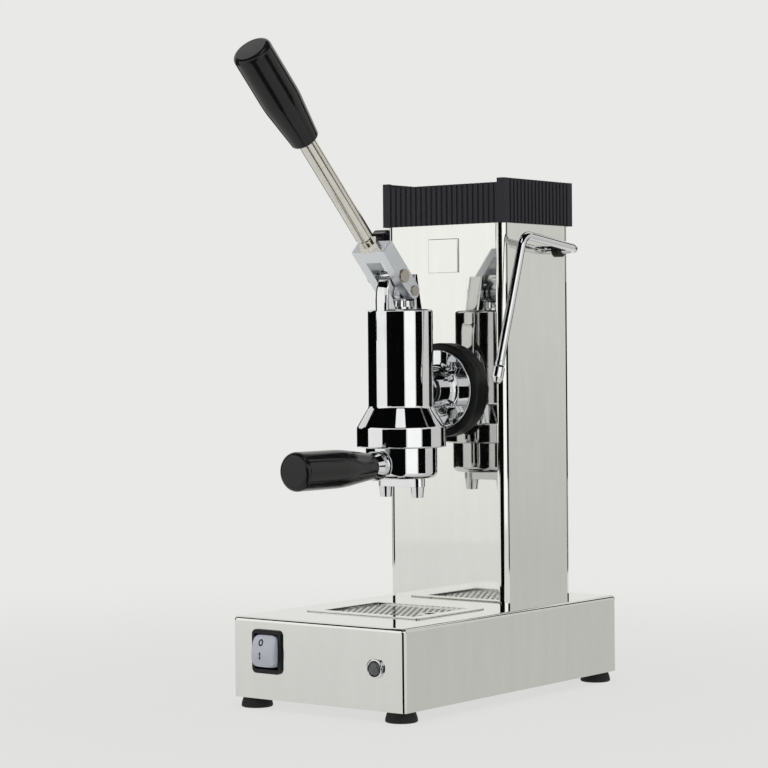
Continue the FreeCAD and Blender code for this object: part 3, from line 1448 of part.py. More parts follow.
ferrule = turned([
    ("handle_stud_radius", "0"),
    ("ferrule_radius", "0"),
    ("ferrule_radius", "ferrule_length * 0.45"),
    ("ferrule_neck_radius", "ferrule_length"),
    ("handle_stud_radius", "ferrule_length"),
])
piece("portafilter_ferrule", on_handle(ferrule, "handle_boss_end"))
handle_start = "handle_boss_end + ferrule_length"
grip = turned([
    ("handle_stud_radius + tang_fit", "0"),
    ("handle_low_radius", "0"),
    ("handle_radius", "handle_taper"),
    ("handle_radius", "handle_length"),
    ("0", "handle_length"),
    ("0", "handle_stud_length + 1"),
    ("handle_stud_radius + tang_fit", "handle_stud_length + 1"),
])
soften(grip, "handle_round", ("handle_radius", "handle_length"), ("handle_low_radius", "0"))
piece("portafilter_handle", on_handle(grip, handle_start))
bridge_bottom = f"({cup_bottom} - spout_bridge)"
spout_bottom = f"({bridge_bottom} - spout_leg)"
bridge = fillet(
    block(both("spout_half_width"), both("spout_half_depth"), (bridge_bottom, cup_bottom)),
    "spout_half_depth * 0.95", lies_along("z"))
leg_middle = "(spout_half_width - spout_half_depth)"
spout_legs = []
for x in both(leg_middle):
    leg = doc.addObject("Part::Cone", "spout_leg")
    bind(leg, Radius1="spout_tip_radius", Radius2="spout_half_depth * 0.95", Height="spout_leg + 1")
    spout_legs.append(put(leg, x, "0", spout_bottom))
spout_stem = rod("spout_stem_radius", "spout_stem_length + 1", "z", "0", "0", f"{cup_bottom} - 1")
channel_level = f"({bridge_bottom} + spout_bridge / 2)"
channel = rod("spout_bore_radius", f"2 * {leg_middle}", "x", f"0 - {leg_middle}", "0", channel_level)
down_hole = rod("spout_bore_radius", "spout_stem_length + spout_bridge", "z", "0", "0", channel_level)
leg_bores = [
    rod("spout_bore_radius", f"{channel_level} - {spout_bottom} + 1", "z", x, "0", f"{spout_bottom} - 1")
    for x in both(leg_middle)
]
piece("double_spout", cut(join(bridge, *spout_legs, spout_stem), channel, down_hole, *leg_bores))

# Rocker switch: a housing with a bezel, and a rocker that leans with its lower end out.
bezel_front = f"({base_front} - bezel_thickness)"
bezel = fillet(
    block((f"{switch_x} - bezel_width / 2", f"{switch_x} + bezel_width / 2"), (bezel_front, base_front),
          (f"{switch_level} - bezel_height / 2", f"{switch_level} + bezel_height / 2")),
    "bezel_corner", lies_along("y"))
switch_body = block(
    (f"{switch_x} - switch_body_width / 2", f"{switch_x} + switch_body_width / 2"),
    (f"{base_front} - bezel_thickness / 2", f"{base_front} + switch_body_depth"),
    (f"{switch_level} - switch_body_height / 2", f"{switch_level} + switch_body_height / 2"))
pocket = block(
    (f"{switch_x} - rocker_half_width - rocker_gap", f"{switch_x} + rocker_half_width + rocker_gap"),
    (f"{bezel_front} - 1", f"{base_front} + pocket_depth"),
    (f"{switch_level} - pocket_half_height", f"{switch_level} + pocket_half_height"))
rocker_y = f"({base_front} + rocker_axis_depth)"
pivot_half = "(rocker_half_width + rocker_pivot_length)"
pivot_hole = rod("rocker_pivot_radius + rocker_pivot_fit", f"2 * {pivot_half} + 0.2", "x",
                 f"{switch_x} - {pivot_half} - 0.1", rocker_y, switch_level)
piece("switch_housing", cut(join(bezel, switch_body), pocket, pivot_hole))
rocker_blank = fillet(
    block(both("rocker_half_width"), ("0 - rocker_middle", "0"), both("rocker_half_height")),
    "rocker_corner", lies_along("y"))
crown = rod("rocker_arc", "2 * rocker_half_width + 2", "x",
            "0 - rocker_half_width - 1", "rocker_arc - rocker_middle")
rocker_heel = block(both("rocker_half_width"), ("0 - rocker_middle / 2", "rocker_back"), both("rocker_half_height / 2"))
pivot = rod("rocker_pivot_radius", f"2 * {pivot_half}", "x", f"0 - {pivot_half}")
rocker = join(overlap(rocker_blank, crown), rocker_heel, pivot)
piece("switch_rocker", put(rocker, switch_x, rocker_y, switch_level, Rotation(Vector(1, 0, 0), -value("rocker_lean"))))

# Pilot lamp: a ringed housing and a domed lens.
lamp_front = f"({base_front} - lamp_ring_depth)"
lamp_housing = turned([
    ("0", "lens_depth"),
    ("lens_radius", "lens_depth"),
    ("lens_radius", "0"),
    ("lamp_ring_radius", "0"),
    ("lamp_ring_radius", "lamp_ring_depth"),
    ("lamp_body_radius", "lamp_ring_depth"),
    ("lamp_body_radius", "lamp_ring_depth + lamp_body_depth"),
    ("0", "lamp_ring_depth + lamp_body_depth"),
])
soften(lamp_housing, "lamp_ring_depth / 2", ("lamp_ring_radius", "0"))
piece("lamp_housing", put(lamp_housing, "lamp_aside", lamp_front, lamp_level, ALONG["y"]))
lens = turned([
    ("0", "0 - lens_proud"),
    ("lens_radius", "0 - lens_proud"),
    ("lens_radius", "lens_depth"),
    ("0", "lens_depth"),
])
soften(lens, "lens_proud", ("lens_radius", "0 - lens_proud"))
piece("lamp_lens", put(lens, "lamp_aside", lamp_front, lamp_level, ALONG["y"]))

# Mains inlet with three pins in a cavity, and its two screws.
inlet_back = f"({base_back} + inlet_flange_thickness)"
inlet_flange = fillet(
    block((f"{inlet_x} - inlet_flange_width / 2", f"{inlet_x} + inlet_flange_width / 2"), (base_back, inlet_back),
          (f"{inlet_level} - inlet_flange_height / 2", f"{inlet_level} + inlet_flange_height / 2")),
    "inlet_corner", lies_along("y"))
inlet_body = block(
    (f"{inlet_x} - inlet_body_width / 2", f"{inlet_x} + inlet_body_width / 2"),
    (f"{base_back} - inlet_body_depth", f"{base_back} + inlet_flange_thickness / 2"),
    (f"{inlet_level} - inlet_body_height / 2", f"{inlet_level} + inlet_body_height / 2"))
cavity_floor = f"({inlet_back} - inlet_cavity_depth)"
inlet_cavity = block(
    (f"{inlet_x} - inlet_cavity_width / 2", f"{inlet_x} + inlet_cavity_width / 2"),
    (cavity_floor, f"{inlet_back} + 1"),
    (f"{inlet_level} - inlet_cavity_height / 2", f"{inlet_level} + inlet_cavity_height / 2"))
pin_places = [
    ("0 - inlet_pin_spread", "0 - inlet_pin_stagger"),
    ("0", "inlet_pin_stagger"),
    ("inlet_pin_spread", "0 - inlet_pin_stagger"),
]
inlet_pins = [
    block((f"{inlet_x} + {across} - inlet_pin_width / 2", f"{inlet_x} + {across} + inlet_pin_width / 2"),
          (f"{cavity_floor} - 1", f"{cavity_floor} + inlet_pin_length"),
          (f"{inlet_level} + {up} - inlet_pin_height / 2", f"{inlet_level} + {up} + inlet_pin_height / 2"))
    for across, up in pin_places
]
flange_holes = [
    rod("small_screw_radius + screw_clearance", "inlet_flange_thickness + 2", "y", x, f"{base_back} - 1", inlet_level)
    for x in inlet_screw_places
]
piece("mains_inlet", join(cut(join(inlet_flange, inlet_body), inlet_cavity, *flange_holes), *inlet_pins))
inlet_screws = []
for x in inlet_screw_places:
    head = rod("small_screw_head_radius", "small_screw_head_height", "y", x, inlet_back, inlet_level)
    shank = rod("small_screw_radius", "small_screw_length", "-y", x, inlet_back, inlet_level)
    inlet_screws.append(join(head, shank))
piece("inlet_screws", several(inlet_screws))

# Two wires inside the base: from the inlet to the switch, and from the switch up to the heating element.
wire_level = f"({lip_top} + wire_lift)"
switch_back = f"({base_front} + switch_body_depth)"
inlet_inside = f"({base_back} - inlet_body_depth)"
inlet_wire = bent_path([
    (inlet_x, inlet_inside, inlet_level),
    (inlet_x, f"{inlet_inside} - wire_bend * 2", inlet_level),
    (inlet_x, f"{inlet_inside} - wire_bend * 4", wire_level),
    (switch_x, f"{switch_back} + wire_bend * 4", wire_level),
    (switch_x, f"{switch_back} + wire_bend * 2", switch_level),
    (switch_x, switch_back, switch_level),
], "wire_bend")
terminal_end = f"({element_bottom} - element_terminal_length)"
element_wire_x = f"({switch_x} + wire_bend)"
element_wire = bent_path([
    (element_wire_x, switch_back, switch_level),
    (element_wire_x, f"{switch_back} + wire_bend * 2", switch_level),
    (element_wire_x, f"{switch_back} + wire_bend * 4", wire_level),
    (element_wire_x, f"{inner_front} + column_lip", wire_level),
    ("0 - element_half_width", column_middle, wire_level),
    ("0 - element_half_width", column_middle, terminal_end),
], "wire_bend")
piece("internal_wires", several([
    shaped(swept(path, value("wire_radius"))) for path in (inlet_wire, element_wire)]))

doc.recompute()
failed = [item.Label for item in doc.Objects if {"Invalid", "Error"} & set(item.State)]
if failed:
    raise SystemExit(f"not recomputed: {failed}")
for name, item in pieces.items():
    if item.Shape.isNull() or not item.Shape.isValid() or not item.Shape.Solids:
        raise SystemExit(f"{name} has no valid solid")

os.makedirs("parts", exist_ok=True)
for name, item in pieces.items():
    item.Shape.exportStep(f"parts/{name}.step")
    print(f"{name}: {len(item.Shape.Solids)} solids, {item.Shape.Volume:.0f} mm3")
print(f"{len(pieces)} pieces")
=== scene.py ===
# %% [markdown]
# # A spring-lever espresso machine
#
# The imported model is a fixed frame. Every node keeps its place and gets the finish of its real material.
# Where the real piece is rounder or finer than its solid, a computed surface takes the place of the node
# and rides on its body.

# %% Load the frame
import json
import math

import bmesh
import bpy
import numpy as np
from mathutils import Matrix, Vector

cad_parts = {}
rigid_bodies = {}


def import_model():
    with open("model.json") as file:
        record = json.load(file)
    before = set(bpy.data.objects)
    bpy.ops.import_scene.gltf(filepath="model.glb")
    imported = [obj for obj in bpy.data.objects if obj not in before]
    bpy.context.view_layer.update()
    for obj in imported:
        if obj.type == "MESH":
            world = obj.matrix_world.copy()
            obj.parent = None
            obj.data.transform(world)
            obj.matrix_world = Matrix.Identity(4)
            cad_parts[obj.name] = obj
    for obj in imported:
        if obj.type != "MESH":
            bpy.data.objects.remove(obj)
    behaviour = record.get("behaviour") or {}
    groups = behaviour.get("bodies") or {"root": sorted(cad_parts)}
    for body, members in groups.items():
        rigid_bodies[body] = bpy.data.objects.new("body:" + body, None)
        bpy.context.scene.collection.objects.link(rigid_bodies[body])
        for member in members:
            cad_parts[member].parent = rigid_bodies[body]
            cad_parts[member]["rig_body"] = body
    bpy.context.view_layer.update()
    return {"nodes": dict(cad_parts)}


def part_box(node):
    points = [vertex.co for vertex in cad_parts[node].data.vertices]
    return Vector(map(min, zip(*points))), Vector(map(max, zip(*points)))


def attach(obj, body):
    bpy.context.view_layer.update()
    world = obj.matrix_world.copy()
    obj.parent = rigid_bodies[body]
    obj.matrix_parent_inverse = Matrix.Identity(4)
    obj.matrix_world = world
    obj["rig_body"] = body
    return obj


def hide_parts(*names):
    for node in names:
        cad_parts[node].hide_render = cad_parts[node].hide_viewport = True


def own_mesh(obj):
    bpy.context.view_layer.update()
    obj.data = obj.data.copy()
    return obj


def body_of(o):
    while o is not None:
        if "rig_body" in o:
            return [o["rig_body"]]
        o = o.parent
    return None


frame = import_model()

nodes = frame["nodes"]
MM = 0.001

# %% [markdown]
# ## Colours and nodes
#
# A colour is written as the sRGB value that the eye sees, and the renderer wants linear light, so one
# function turns the one into the other. Another adds a shader node, because a material is only nodes and
# the links between them.


# %% Two helpers for materials
def colour(code):
    """A written sRGB colour such as "C8C8C4" as linear light, with alpha 1.

    A share of up to 0.04045 is divided by 12.92. A larger one is ((share + 0.055) / 1.055) to the power 2.4.
    """
    share = np.array([int(code[place:place + 2], 16) for place in (0, 2, 4)]) / 255
    return tuple(np.where(share <= 0.04045, share / 12.92, ((share + 0.055) / 1.055) ** 2.4)) + (1.0,)


def add(tree, kind, sockets=None, **settings):
    """Adds a node with its settings. A socket takes a plain value, or the output of another node."""
    item = tree.nodes.new(kind)
    for name, value in settings.items():
        setattr(item, name, value)
    for name, value in (sockets or {}).items():
        if isinstance(value, bpy.types.NodeSocket):
            tree.links.new(value, item.inputs[name])
        else:
            item.inputs[name].default_value = value
    return item


print("C8C8C4 as linear light:", np.round(colour("C8C8C4"), 3))

# %% [markdown]
# ## Finishes
#
# No real surface is one flat colour. A finish here wanders between two close colours and two roughnesses,
# and its grain also lifts the surface a little. The grain is given in millimetres and lies in Object
# coordinates, which are the metres of the machine itself. It is drawn out where the real surface was drawn,
# ground or turned.


# %% One function for a finish
def finish(name, code, tone, roughness, grain, relief=0.0, drawn=(1, 1, 1), turn=(0, 0, 0), **sockets):
    """A material whose noise n has blotches of grain millimetres, drawn out along its own axes.

    The share (n - 0.3) / 0.4, kept between 0 and 1, leads from code to tone and from the first roughness to
    the second. The bump lifts the surface by relief times n, in millimetres.
    """
    made = bpy.data.materials.new(name)
    made.use_nodes = True
    tree = made.node_tree
    shader = tree.nodes["Principled BSDF"]
    place = add(tree, "ShaderNodeTexCoord").outputs["Object"]
    along = add(tree, "ShaderNodeMapping", {"Vector": place, "Rotation": turn, "Scale": drawn},
                vector_type="TEXTURE").outputs["Vector"]
    blotch = add(tree, "ShaderNodeTexNoise", {
        "Vector": along, "Scale": 1 / (grain * MM), "Detail": 3.0, "Roughness": 0.55}).outputs["Fac"]
    share = add(tree, "ShaderNodeMapRange", {
        "Value": blotch, "From Min": 0.3, "From Max": 0.7}).outputs["Result"]
    tint = add(tree, "ShaderNodeMix", {0: share, 6: colour(code), 7: colour(tone)}, data_type="RGBA")
    tree.links.new(tint.outputs[2], shader.inputs["Base Color"])
    rough = add(tree, "ShaderNodeMapRange", {"Value": share, "To Min": roughness[0], "To Max": roughness[1]})
    tree.links.new(rough.outputs["Result"], shader.inputs["Roughness"])
    if relief:
        bump = add(tree, "ShaderNodeBump", {"Height": blotch, "Distance": relief * MM, "Strength": 1.0})
        tree.links.new(bump.outputs["Normal"], shader.inputs["Normal"])
    for socket, value in sockets.items():
        shader.inputs[socket.replace("_", " ")].default_value = value
    return made


print("A finish needs a name, two colours, two roughnesses and a grain in millimetres")

# %% [markdown]
# ## Metals
#
# Polished sheet, chrome and turned bar are all bright metal, and the eye tells them apart by what the tool
# left behind. They could be one grey metal, but then the machine would look cast in one piece. Each has its
# own grain instead, which is drawn out the way the sheet was buffed or the bar was turned.

# %% Metals
LEVER_LEAN = math.radians(45)
# Stainless sheet, mirror polished: buffing leaves faint upright marks, and the sheet is never quite flat.
polished_steel = finish("mirror_polished_stainless", "E8E8E5", "E4E4E1", (0.03, 0.06), 14, relief=0.0008,
                        drawn=(1, 1, 6), Metallic=1.0)
# Chrome plate on polished castings and tube: almost no texture, only a breath of handling.
chrome = finish("chrome_plate", "E6E7E8", "DFE0E2", (0.02, 0.05), 18, Metallic=1.0)
# Bar turned and ground: fine rings round the lever, drawn coarser than the real ones so that they show.
turned_steel = finish("turned_steel", "E6E3DA", "D8D5CC", (0.12, 0.22), 0.9, drawn=(20, 20, 1),
                      turn=(LEVER_LEAN, 0, 0), Metallic=1.0)
# Satin-plated casting of the fork: a soft sheen with a fine blasted grain.
satin_casting = finish("satin_plated_casting", "EAEDF1", "DADDE1", (0.26, 0.36), 0.7, relief=0.004,
                       Metallic=1.0)
# Ends of the pins, ground flat: warmer and duller than the chrome round them.
ground_steel = finish("ground_steel", "CCC6BC", "B8B2A8", (0.28, 0.4), 0.8, relief=0.004, Metallic=1.0)
# Pressed sheet of the grid and the basket, brushed one way: soft streaks from front to back.
brushed_steel = finish("brushed_stainless", "D2D2CF", "C4C4C1", (0.14, 0.26), 1.2, relief=0.003,
                       drawn=(1, 16, 1), Metallic=1.0)
# Zinc plate on the screws, the bottom and the spring: dull, with a mottled spangle.
zinc_plate = finish("zinc_plated_steel", "ADB0B4", "9A9DA1", (0.3, 0.5), 6, relief=0.01, Metallic=1.0)
# Bare brass of the boiler and the valves: yellow, with the cloudy tarnish of heat.
brass = finish("plain_brass", "B99B5E", "A98B50", (0.2, 0.36), 7, relief=0.01, Metallic=1.0)
print(len(bpy.data.materials), "metals")

# %% [markdown]
# ## Plastics and rubber
#
# The dark pieces differ in gloss more than in colour: pressed phenolic is polished, the ring is satin, the
# tray carries the fine grain of its mould and rubber is dull. So they share nearly one black, and roughness
# tells them apart.

# %% Plastics and rubber
# Pressed phenolic of the handles and the knob: polished black with long soft reflections.
phenolic = finish("black_phenolic", "1B1A1C", "1F1E20", (0.1, 0.18), 6, relief=0.003, Specular_IOR_Level=0.35)
# Fibre-filled plastic of the insulating ring: black and satin.
fibre = finish("black_fibre_ring", "0C0C0D", "121213", (0.34, 0.48), 2, relief=0.012, Specular_IOR_Level=0.3)
# Injection-moulded tray: charcoal with a fine spark-eroded grain.
moulded_charcoal = finish("charcoal_moulded_plastic", "37363C", "3F3E44", (0.45, 0.6), 0.7, relief=0.012,
                          Specular_IOR_Level=0.2)
# Moulded black of the switch and the inlet: a satin black with a fine grain.
moulded_black = finish("black_moulded_plastic", "131314", "19191B", (0.3, 0.42), 1, relief=0.01,
                       Specular_IOR_Level=0.3)
# Rocker of light grey plastic with a soft gloss.
moulded_grey = finish("grey_moulded_plastic", "E2E7F2", "DBE0EB", (0.16, 0.26), 10, relief=0.004)
# Ink of the two marks on the rocker: dull black.
ink = finish("printed_black_ink", "0D0D0F", "151517", (0.4, 0.5), 1)
# Unlit lens: smoke grey with a moulded prism grain that breaks up what is behind it.
smoke_lens = finish("smoke_grey_lens", "6A6B6F", "4A4B4E", (0.1, 0.2), 1.6, relief=0.12, Coat_Weight=0.4,
                    Coat_Roughness=0.05)
# Rubber of the feet and the seals: dull, and a little dusty.
rubber = finish("black_rubber", "131313", "1B1B1B", (0.6, 0.8), 1.5, relief=0.02)
print(len(bpy.data.materials), "finishes")

# %% [markdown]
# ## A finish for every node
#
# The frame brings one node for every physical piece. A finish could be put on each by hand, but a list from
# finish to pieces reads like the parts list of the machine, and it shows at once when a piece is forgotten.

# %% A finish for every node
finish_of = {}
for made, names in {
    polished_steel: "base_shell column_shell rear_cover drip_tray front_plate",
    chrome: "group_body portafilter_cup portafilter_ferrule double_spout flange_bolts lamp_housing "
            "steam_wand wand_nozzle piston_rod rod_bush",
    turned_steel: "lever_rod lock_nut",
    satin_casting: "lever_fork",
    ground_steel: "fulcrum_pin rod_pin",
    brushed_steel: "drip_grid filter_basket shower_screen",
    zinc_plate: "base_plate foot_screws column_screws rear_cover_screws inlet_screws element_bolts "
                "heating_element main_spring",
    brass: "boiler safety_valve steam_valve steam_spindle steam_pipe pressurestat_pipe piston",
    phenolic: "lever_handle portafilter_handle steam_knob boiler_cap",
    fibre: "insulating_ring wand_nut",
    moulded_charcoal: "cup_tray",
    moulded_black: "switch_housing mains_inlet pressurestat internal_wires",
    moulded_grey: "switch_rocker",
    smoke_lens: "lamp_lens",
    rubber: "foot_front_left foot_front_right foot_rear_left foot_rear_right cap_seal element_gasket "
            "group_gasket piston_seals",
}.items():
    for name in names.split():
        nodes[name].data.materials.clear()
        nodes[name].data.materials.append(made)
        finish_of[name] = made
print(f"{len(finish_of)} of {len(nodes)} nodes have a finish")

# %% [markdown]
# ## Surfaces
#
# Most of the machine was turned on a lathe, so most new pieces are one profile carried round an axis. A
# profile is a line of corners, and each corner has a radius, because a turner breaks every edge. A corner
# could be cut by a Bevel modifier later, but an arc in the profile keeps the exact radius and costs nothing.

# %% Arcs at the corners
LESS_THAN_HALF = 0.49
NEARLY_STRAIGHT = 1e-4
NEARLY_NOTHING = 1e-9


def rounded(corners, rounds, steps=9):
    """A line through corners in millimetres, each of them an arc with its own radius.

    An arc about O from P to Q that turns by t is O + (sin((1 - s) t) (P - O) + sin(s t) (Q - O)) / sin t.
    It takes up less than half of the shorter side beside its corner.
    """
    corners = np.array(corners, float)
    middle = corners[1:-1]
    back, ahead = corners[:-2] - middle, corners[2:] - middle
    sides = [np.linalg.norm(side, axis=1, keepdims=True) for side in (back, ahead)]
    back, ahead = back / sides[0], ahead / sides[1]
    turn = math.pi - np.arccos(np.clip((back * ahead).sum(axis=1, keepdims=True), -1, 1))
    turn = np.maximum(turn, NEARLY_STRAIGHT)
    reach = np.minimum(np.reshape(rounds, (-1, 1)) * np.tan(turn / 2), LESS_THAN_HALF * np.minimum(*sides))
    inward = back + ahead
    inward = inward / np.maximum(np.linalg.norm(inward, axis=1, keepdims=True), NEARLY_NOTHING)
    centre = middle + inward * reach / np.sin(turn / 2)
    start, end = middle + back * reach - centre, middle + ahead * reach - centre
    s = np.linspace(0, 1, steps)[:, None, None]
    arc = centre + (np.sin((1 - s) * turn) * start + np.sin(s * turn) * end) / np.sin(turn)
    return np.concatenate([corners[:1], arc.swapaxes(0, 1).reshape(-1, corners.shape[1]), corners[-1:]])


def placed(points, place):
    """Points in millimetres, turned and moved by a matrix."""
    place = np.array(place)
    return points @ place[:3, :3].T + place[:3, 3]


print("A square corner of radius 2 becomes", len(rounded([(0, 0), (9, 0), (9, 9)], [2])), "points")

# %% [markdown]
# ## From a grid to a piece
#
# A surface is a grid of points worked out as one array, and its faces follow from the row and column
# numbers. Points that fall together at a pole are merged and the open ends are filled, so that every piece
# is closed like the real one. Smooth shading would tilt a long face towards the small arc beside it, and a
# mirror would bend there. The Weighted Normal modifier lets the large faces decide, so a straight barrel
# also reflects straight.

# %% Grid, mesh and piece
SHARP_ANGLE = 35
SAME_PLACE = 1e-6


def new_piece(name, mesh, body, node=None, made=None, slot=None):
    """A smooth piece on a body, whose edges stay sharp where they turn by more than the sharp angle.

    It stands for a node and takes its finish, or it has a finish of its own. The slot is not used.
    """
    mesh.materials.clear()
    mesh.materials.append(made or finish_of[node])
    mesh.polygons.foreach_set("use_smooth", [True] * len(mesh.polygons))
    mesh.set_sharp_from_angle(angle=math.radians(SHARP_ANGLE))
    piece = bpy.data.objects.new(name, mesh)
    bpy.context.scene.collection.objects.link(piece)
    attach(piece, body)
    if node:
        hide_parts(node)
    print(f"{name}: {len(mesh.polygons)} faces on {body}")
    return piece


def surface(name, grid, body, **look):
    """A closed mesh over a grid of points in millimetres.

    Rows follow each other, columns close round, and the two ends are filled.
    """
    rows, columns = grid.shape[:2]
    here = np.arange(rows * columns).reshape(rows, columns)
    beside = np.roll(here, -1, axis=1)
    faces = np.stack([here[:-1], beside[:-1], beside[1:], here[1:]], axis=-1).reshape(-1, 4)
    mesh = bpy.data.meshes.new(name)
    mesh.from_pydata((grid.reshape(-1, 3) * MM).tolist(), [], faces.tolist())
    shape = bmesh.new()
    shape.from_mesh(mesh)
    bmesh.ops.remove_doubles(shape, verts=shape.verts, dist=SAME_PLACE)
    bmesh.ops.dissolve_degenerate(shape, edges=shape.edges, dist=SAME_PLACE / 10)
    bmesh.ops.holes_fill(shape, edges=[edge for edge in shape.edges if edge.is_boundary])
    bmesh.ops.recalc_face_normals(shape, faces=shape.faces)
    shape.to_mesh(mesh)
    shape.free()
    piece = new_piece(name, mesh, body, **look)
    piece.modifiers.new("even_normals", "WEIGHTED_NORMAL").keep_sharp = True
    return piece


print(f"A piece is smooth, with sharp edges over {SHARP_ANGLE} degrees")

# %% [markdown]
# ## The lathe
#
# Barrel, handles, ring, feet and lamp are all bodies of revolution. Blender's Screw modifier could spin a
# profile, but with the formula written out the flutes of the knob are only one more term.

# %% Turning a profile
LATHE_COLUMNS = 144


def turned(name, profile, body, place=np.eye(4), around=LATHE_COLUMNS, flutes=0, flute_depth=0.0, **look):
    """A profile of (radius, height, round) corners carried round the axis, and then placed.

    P(s, t) = (r cos t, r sin t, h). Flutes draw r in by flute_depth (1 + cos(flutes t)) / 2 where it is
    widest, fading to nothing at three quarters of that radius.
    """
    profile = np.array(profile, float)
    line = rounded(profile[:, :2], profile[1:-1, 2])
    turn = np.linspace(0, 2 * math.pi, around, endpoint=False)
    radius, height = line[:, :1], line[:, 1:]
    wide = np.clip(radius / radius.max() * 4 - 3, 0, 1)
    radius = radius - wide * flute_depth * (1 + np.cos(flutes * turn)) / 2
    grid = np.stack([radius * np.cos(turn), radius * np.sin(turn), height + 0 * turn], axis=-1)
    return surface(name, placed(grid, place), body, **look)


def pointing(axis, x, y, z):
    """A place in millimetres for a piece made upright, whose top then points along an axis."""
    turn, about = {"-y": (90, "X"), "+y": (-90, "X"), "-x": (-90, "Y")}[axis]
    return Matrix.Translation((x, y, z)) @ Matrix.Rotation(math.radians(turn), 4, about)


print(f"A turned piece has {LATHE_COLUMNS} columns unless it says otherwise")

# %% [markdown]
# ## The group
#
# One polished and chromed casting. The barrel widens over a cone into the bell that holds the portafilter,
# and a short neck carries it on the column. A mirror finish shows every flat and every facet, so the barrel
# is a fine lathe form. Its profile also runs up the inside, past the room for the portafilter's lugs, the
# groove of the gasket and the bore of the piston.

# %% Barrel
GROUP_LEVEL = 292.0
BARREL_RADIUS, BARREL_TOP = 31.0, 369.6
BELL_RADIUS, BELL_FOOT, BELL_TOP, CONE_TOP = 42.4, 239, 258, 277.2
MOUTH_RADIUS = 34.7
LUG_RADIUS, LUG_FOOT, LUG_TOP = 38.2, 245, 252.9
GROOVE_INSIDE, GROOVE_OUTSIDE, GROOVE_TOP = 25.8, 33.6, 260.5
BORE_RADIUS, BORE_FOOT, BORE_TOP = 23, 254.6, 357
ROD_HOLE = 9
turned("group_barrel", [
    (BORE_RADIUS, BORE_FOOT, 0), (GROOVE_INSIDE, BORE_FOOT, 0), (GROOVE_INSIDE, GROOVE_TOP, 0),
    (GROOVE_OUTSIDE, GROOVE_TOP, 0), (GROOVE_OUTSIDE, LUG_TOP, 0), (LUG_RADIUS, LUG_TOP, 0),
    (LUG_RADIUS, LUG_FOOT, 0), (MOUTH_RADIUS, LUG_FOOT, 0.5), (MOUTH_RADIUS, BELL_FOOT, 0.8),
    (BELL_RADIUS, BELL_FOOT, 1.5), (BELL_RADIUS, BELL_TOP, 5), (BARREL_RADIUS, CONE_TOP, 6),
    (BARREL_RADIUS, BARREL_TOP, 2.5), (ROD_HOLE, BARREL_TOP, 0.4), (ROD_HOLE, BORE_TOP, 0),
    (BORE_RADIUS, BORE_TOP, 0), (BORE_RADIUS, BORE_FOOT, 0)], "machine", node="group_body")

# %% [markdown]
# ## The neck
#
# The neck leaves the barrel level and ends in the flange that is bolted to the column. It is part of the same
# casting, so its start is hidden in the wall of the barrel and a wide fillet leads into the flange.

# %% Neck and flange
NECK_RADIUS, NECK_START = 21, 26
FLANGE_RADIUS, FLANGE_START, FLANGE_END = 39, 58, 67.5
RECESS_RADIUS, RECESS_START = 19, 60
turned("group_neck", [
    (0, NECK_START, 0), (NECK_RADIUS, NECK_START, 0), (NECK_RADIUS, FLANGE_START, 6),
    (FLANGE_RADIUS, FLANGE_START, 1.2), (FLANGE_RADIUS, FLANGE_END, 0.4), (RECESS_RADIUS, FLANGE_END, 0),
    (RECESS_RADIUS, RECESS_START, 0), (0, RECESS_START, 0)],
    "machine", pointing("+y", 0, 0, GROUP_LEVEL), made=chrome, slot="chrome")

# %% [markdown]
# ## The ears of the group
#
# The front ear carries the fulcrum and continues the barrel's own curve, and the ear behind runs down the
# barrel as a rib. They are cast with the barrel, so they have no edges of their own. Each is a stack of
# rounded sections between a front line and a back line, and both lines are softened by cutting their corners.


# %% How an ear is made
def softened(line, passes=3):
    """Corner cutting: every pass keeps the points at a quarter and at three quarters of each edge."""
    line = np.array(line, float)
    for _ in range(passes):
        start, end = line[:-1], line[1:]
        kept = np.stack([0.75 * start + 0.25 * end, 0.25 * start + 0.75 * end], axis=1).reshape(-1, 2)
        line = np.concatenate([line[:1], kept, line[-1:]])
    return line


def ear(name, front, back, levels, half_width, top=None):
    """Sections |x / w|^6 + |y / d|^6 = 1 over the levels, between a front and a back line of (z, y) corners.

    The front follows the barrel's curve. A top (y, z, radius) closes the ear as half a cylinder.
    """
    levels = np.array(levels, float)
    front_y, back_y = (np.interp(levels, *softened(line).T) for line in (front, back))
    if top:
        centre, height, radius = top
        arc = np.linspace(0, math.pi / 2, 12)[1:]
        levels = np.append(levels, height + radius * np.sin(arc))
        front_y = np.append(front_y, centre - radius * np.cos(arc))
        back_y = np.append(back_y, centre + radius * np.cos(arc))
    turn = np.linspace(0, 2 * math.pi, 72, endpoint=False)
    across, deep = (np.sign(wave) * np.abs(wave) ** (1 / 3) for wave in (np.cos(turn), np.sin(turn)))
    x = half_width * across
    hollow = (BARREL_RADIUS - np.sqrt(BARREL_RADIUS ** 2 - x ** 2)) * (1 - deep) / 2
    y = (front_y + back_y)[:, None] / 2 + (back_y - front_y)[:, None] / 2 * deep + hollow
    grid = np.stack([x + 0 * y, y, levels[:, None] + 0 * y], axis=-1)
    return surface(name, grid, "machine", made=chrome, slot="chrome")


print("A line of 3 corners is softened into", len(softened([(0, 0), (1, 0), (1, 1)])), "points")

# %% [markdown]
# ## Two ears
#
# Each ear grows out of the wall of the barrel and stays clear of the bore, where the spring and the piston
# move. The corners are (height, depth) in millimetres, only as many as the ear has bends.

